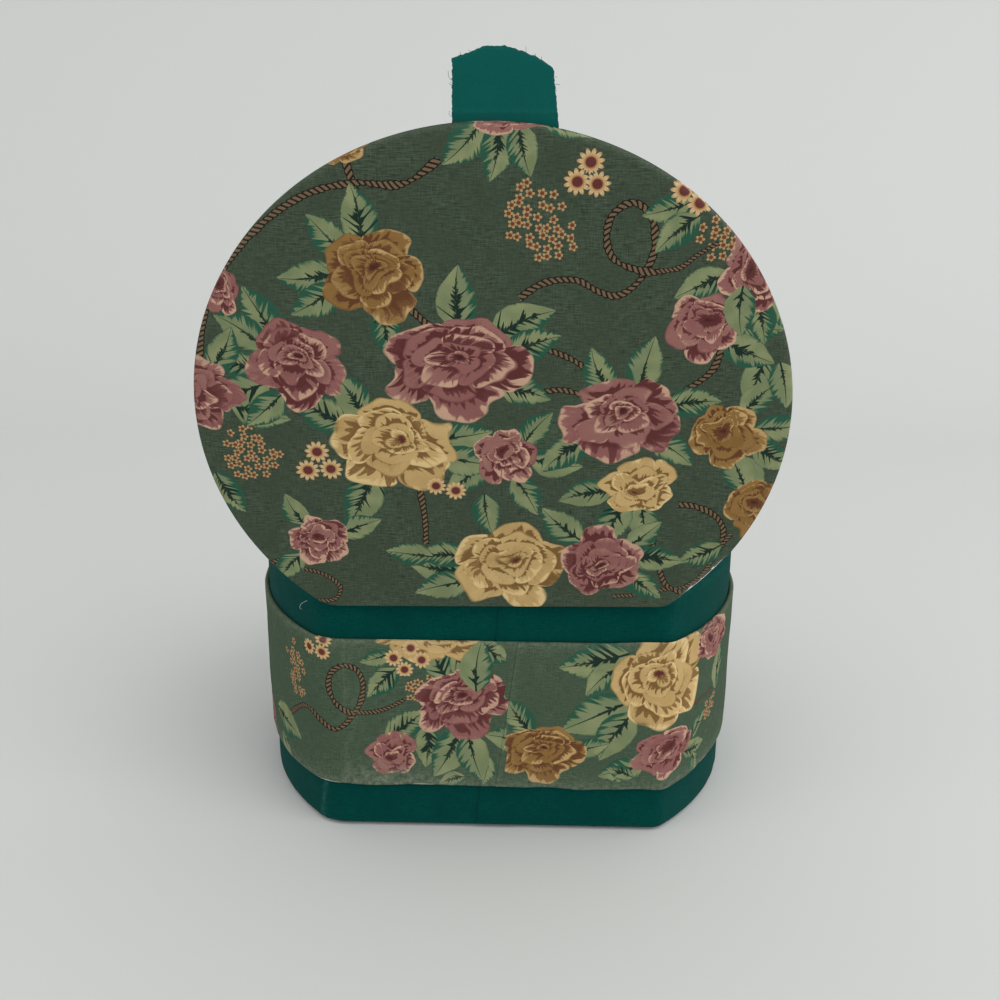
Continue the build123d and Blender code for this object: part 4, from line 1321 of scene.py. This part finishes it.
class KEEPSAKE_OT_tab(bpy.types.Operator):
    """Makes the pull tab of two cut layers of plain cotton, with its loose threads"""

    bl_idname = "keepsake.tab"
    bl_label = "Pull tab"

    def execute(self, context):
        thick = context.scene.keepsake_sizes.cloth / MM
        u = np.linspace(0, 1, 65)
        crown = [(-10.6, 93.6), (-9.9, 94.1), (-2.2, 96.8), (3.1, 96.6)]
        crown = np.array(crown + [(9.4, 94.5), (12.9, 92.3), (15, 90.8)])
        root, lid_edge = 66.3, 82.2  # the tab's end under the lid lining, and where it leaves the lid
        for name, node, high, spread, seed in (
            ("tab_outer", "tab_outer_cloth", 82.55, 0.16, 61),
            ("tab_inner", "tab_inner_cloth", 82.25, -0.10, 62),
        ):
            rows = []
            for v in np.linspace(0, 1, 75):
                left, right = -10.6 + 0.7 * v, 16.6 - 3.4 * v
                x = left + (right - left) * u
                y = root + (np.interp(x, *crown.T) - root) * v
                rows.append(np.c_[x, y, np.full(len(x), high)])
            rows = np.array(rows)
            # Cut edges waver where threads have come away
            side = np.exp(-u / 0.01) - np.exp(-(1 - u) / 0.01)
            rows[:, :, 0] += 0.13 * side * waves(rows[:, :, 1], seed, seed, 0.9, 4)
            rows[-1, :, 1] += 0.12 * waves(rows[-1, :, 0], 0, seed + 5, 0.9, 4)
            free = smooth((rows[:, :, 1] - 80.6) / 8)
            curl = 0.25 * waves(rows[:, :, 0], rows[:, :, 1], 63, 12, 40)
            rows[:, :, 2] += free * curl + spread * smooth((rows[:, :, 1] - 88) / 8)
            rows[:, :, 2] += 0.12 * np.exp(-(((rows[:, :, 1] - lid_edge) / 0.5) ** 2))
            uv = rows[:, :, :2].copy()
            wear_and_highlight = 0.3 * np.exp(-abs(uv[:, :, 1] - lid_edge) / 0.35)
            wear_and_highlight = wear_and_highlight + 0.15 * np.exp(-np.minimum(u, 1 - u) / 0.012)
            wear_and_highlight[-2:] = 0.2
            piece = skin(name, opened(rows), uv, closed=False)
            note(piece, "wear_and_highlight", np.clip(wear_and_highlight, 0, 1))
            # Painted light: the tab takes the paler green, for it showing brighter than the wall below
            note(piece, "faded", np.ones(rows.shape[:2]))
            finished(piece, "lid", "Dyed plain cotton", [node], thick, centred=True)

        lines = loose_threads(crown)
        piece = tube("tab_threads", lines, 0.05)
        finished(piece, "lid", "Cotton thread")
        t = np.linspace(0, 1, 16)
        bow, drop = 0.5 * np.sin(pi * t), 2.4 * t - 0.5 * np.sin(5 * t)
        hair = np.stack([-58.2 + 1.1 * np.cos(4.2 * t), -60.3 - bow, 79.6 - drop], 1)
        piece = tube("stray_thread", [hair], 0.06)
        finished(piece, "box", "Pale thread")
        return {"FINISHED"}


class KEEPSAKE_OT_boards(bpy.types.Operator):
    """Makes the materials, and gives the boards and cards theirs"""

    bl_idname = "keepsake.boards"
    bl_label = "Materials and boards"

    def execute(self, context):
        colours = context.scene.keepsake_colours
        printed_cotton(colours)
        plain_cotton(colours)
        # Recycled greyboard: grey-brown, flecked, soft cut edges
        grey = board("Recycled greyboard", "#8b857a", "#6e675c", 900)
        # White-lined board: clean white face
        white = board("White-lined board", "#e2e0da", "#cfccc4", 500)
        card = board("Uncoated card", "#d9d4c6", "#c6c0b0", 700)
        # Bonded polyester wadding: white and fluffy, so rough and pale
        board("Polyester wadding", "#e6e6e3", "#cfcfcc", 1500)
        # Cotton thread pulled from the dyed cloth, and one undyed
        board("Cotton thread", "#1c6a60", "#0d4a42", 3000)
        board("Pale thread", "#b9c4bb", "#8fa49a", 3000)
        for nodes, material in (
            (("base_board", "wall_board"), grey),
            (("lid_board",), white),
            (("bottom_card", "wrap_card", "wall_lining_card", "floor_card", "lid_lining_card"), card),
        ):
            for node in nodes:
                mesh = frame["nodes"][node].data
                mesh.materials.clear()
                mesh.materials.append(material)
        return {"FINISHED"}


def lay_floor(scene):
    """A floor that runs up into the backdrop."""
    line = bent([(-1500, 0, 0), (900, 0, 500), (900, 1600, 0)], 60)
    x = np.linspace(-2200, 2200, 23)
    rows = np.array([[(a, y, z) for a in x] for y, z in line])
    uv = rows[:, :, :2]
    floor = skin("stage_floor", rows, uv, closed=False)
    # Matt painted board: even and pale
    material, tree = new_material("Painted studio floor")
    bsdf = tree.nodes["Principled BSDF"]
    bsdf.inputs["Base Color"].default_value = (*scene.keepsake_colours.floor, 1)
    bsdf.inputs["Roughness"].default_value = 0.9
    floor.data.materials.append(material)
    only(floor)
    bpy.ops.object.shade_smooth()


def set_lights(scene):
    """An even pale sky, a large soft light from the right and a weak one from the left."""
    world = bpy.data.worlds.new("Studio")
    scene.world = world
    world.use_nodes = True
    world.node_tree.nodes["Background"].inputs[0].default_value = (1, 1, 1, 1)
    world.node_tree.nodes["Background"].inputs[1].default_value = 0.92
    for name, place, size, watts in (
        ("Key", (0.95, -0.6, 0.95), 1.5, 9.6),
        ("Fill", (-1.1, -0.9, 0.8), 1.2, 1.5),
    ):
        lamp = bpy.data.lights.new(name, "AREA")
        lamp.size, lamp.energy = size, watts
        lamp_object = bpy.data.objects.new(name, lamp)
        scene.collection.objects.link(lamp_object)
        lamp_object.location = place
        aim = Vector((0, 0, 0.1)) - Vector(place)
        lamp_object.rotation_euler = aim.to_track_quat("-Z", "Y").to_euler()


def place_camera(scene):
    """The camera as it was fitted to the outlines in the photo."""
    camera = bpy.data.cameras.new("Camera")
    camera.sensor_width, camera.lens = 36, 36 * 1.15827
    camera.clip_start = 0.01
    eye = bpy.data.objects.new("Camera", camera)
    scene.collection.objects.link(eye)
    aim, away = Vector((0, 0, 0.09196)), 0.4028
    yaw, down, roll = radians(1.0942), radians(19.038), radians(0.5041)
    forward = Vector((-sin(yaw) * cos(down), cos(yaw) * cos(down), -sin(down)))
    right = Vector((cos(yaw), sin(yaw), 0))
    up = right.cross(forward)
    right, up = right * cos(roll) + up * sin(roll), up * cos(roll) - right * sin(roll)
    turned = Matrix((right, up, -forward)).transposed().to_4x4()
    eye.matrix_world = Matrix.Translation(aim - forward * away) @ turned
    scene.camera = eye


class KEEPSAKE_OT_stage(bpy.types.Operator):
    """Sets the floor, the light and the camera"""

    bl_idname = "keepsake.stage"
    bl_label = "Stage"

    def execute(self, context):
        bpy.ops.object.select_all(action="DESELECT")
        lay_floor(context.scene)
        set_lights(context.scene)
        place_camera(context.scene)
        context.scene.view_settings.view_transform = "Standard"
        return {"FINISHED"}


class KEEPSAKE_PT_panel(bpy.types.Panel):
    """Sizes, colours and the steps that make the box"""

    bl_idname = "KEEPSAKE_PT_panel"
    bl_label = "Keepsake box"
    bl_space_type = "VIEW_3D"
    bl_region_type = "UI"
    bl_category = "Keepsake box"

    def draw(self, context):
        for group_ in (context.scene.keepsake_sizes, context.scene.keepsake_colours):
            for name in group_.__annotations__:
                self.layout.prop(group_, name)
        for step in STEPS:
            self.layout.operator(step.bl_idname)


STEPS = (
    KEEPSAKE_OT_stage,
    KEEPSAKE_OT_boards,
    KEEPSAKE_OT_wall_cloth,
    KEEPSAKE_OT_wrap_cloth,
    KEEPSAKE_OT_lid_cloth,
    KEEPSAKE_OT_linings,
    KEEPSAKE_OT_floor_pad,
    KEEPSAKE_OT_hinge,
    KEEPSAKE_OT_tab,
)
CLASSES = (KeepsakeColours, KeepsakeSizes, *STEPS, KEEPSAKE_PT_panel)


def register():
    for cls in CLASSES:
        bpy.utils.register_class(cls)
    bpy.types.Scene.keepsake_colours = bpy.props.PointerProperty(type=KeepsakeColours)
    bpy.types.Scene.keepsake_sizes = bpy.props.PointerProperty(type=KeepsakeSizes)


def unregister():
    del bpy.types.Scene.keepsake_colours
    del bpy.types.Scene.keepsake_sizes
    for cls in reversed(CLASSES):
        bpy.utils.unregister_class(cls)


def main():
    register()
    bpy.ops.keepsake.stage()
    bpy.ops.keepsake.boards()
    bpy.ops.keepsake.wall_cloth()
    bpy.ops.keepsake.wrap_cloth()
    bpy.ops.keepsake.lid_cloth()
    bpy.ops.keepsake.linings()
    bpy.ops.keepsake.floor_pad()
    bpy.ops.keepsake.hinge()
    bpy.ops.keepsake.tab()


if __name__ == "__main__":
    main()
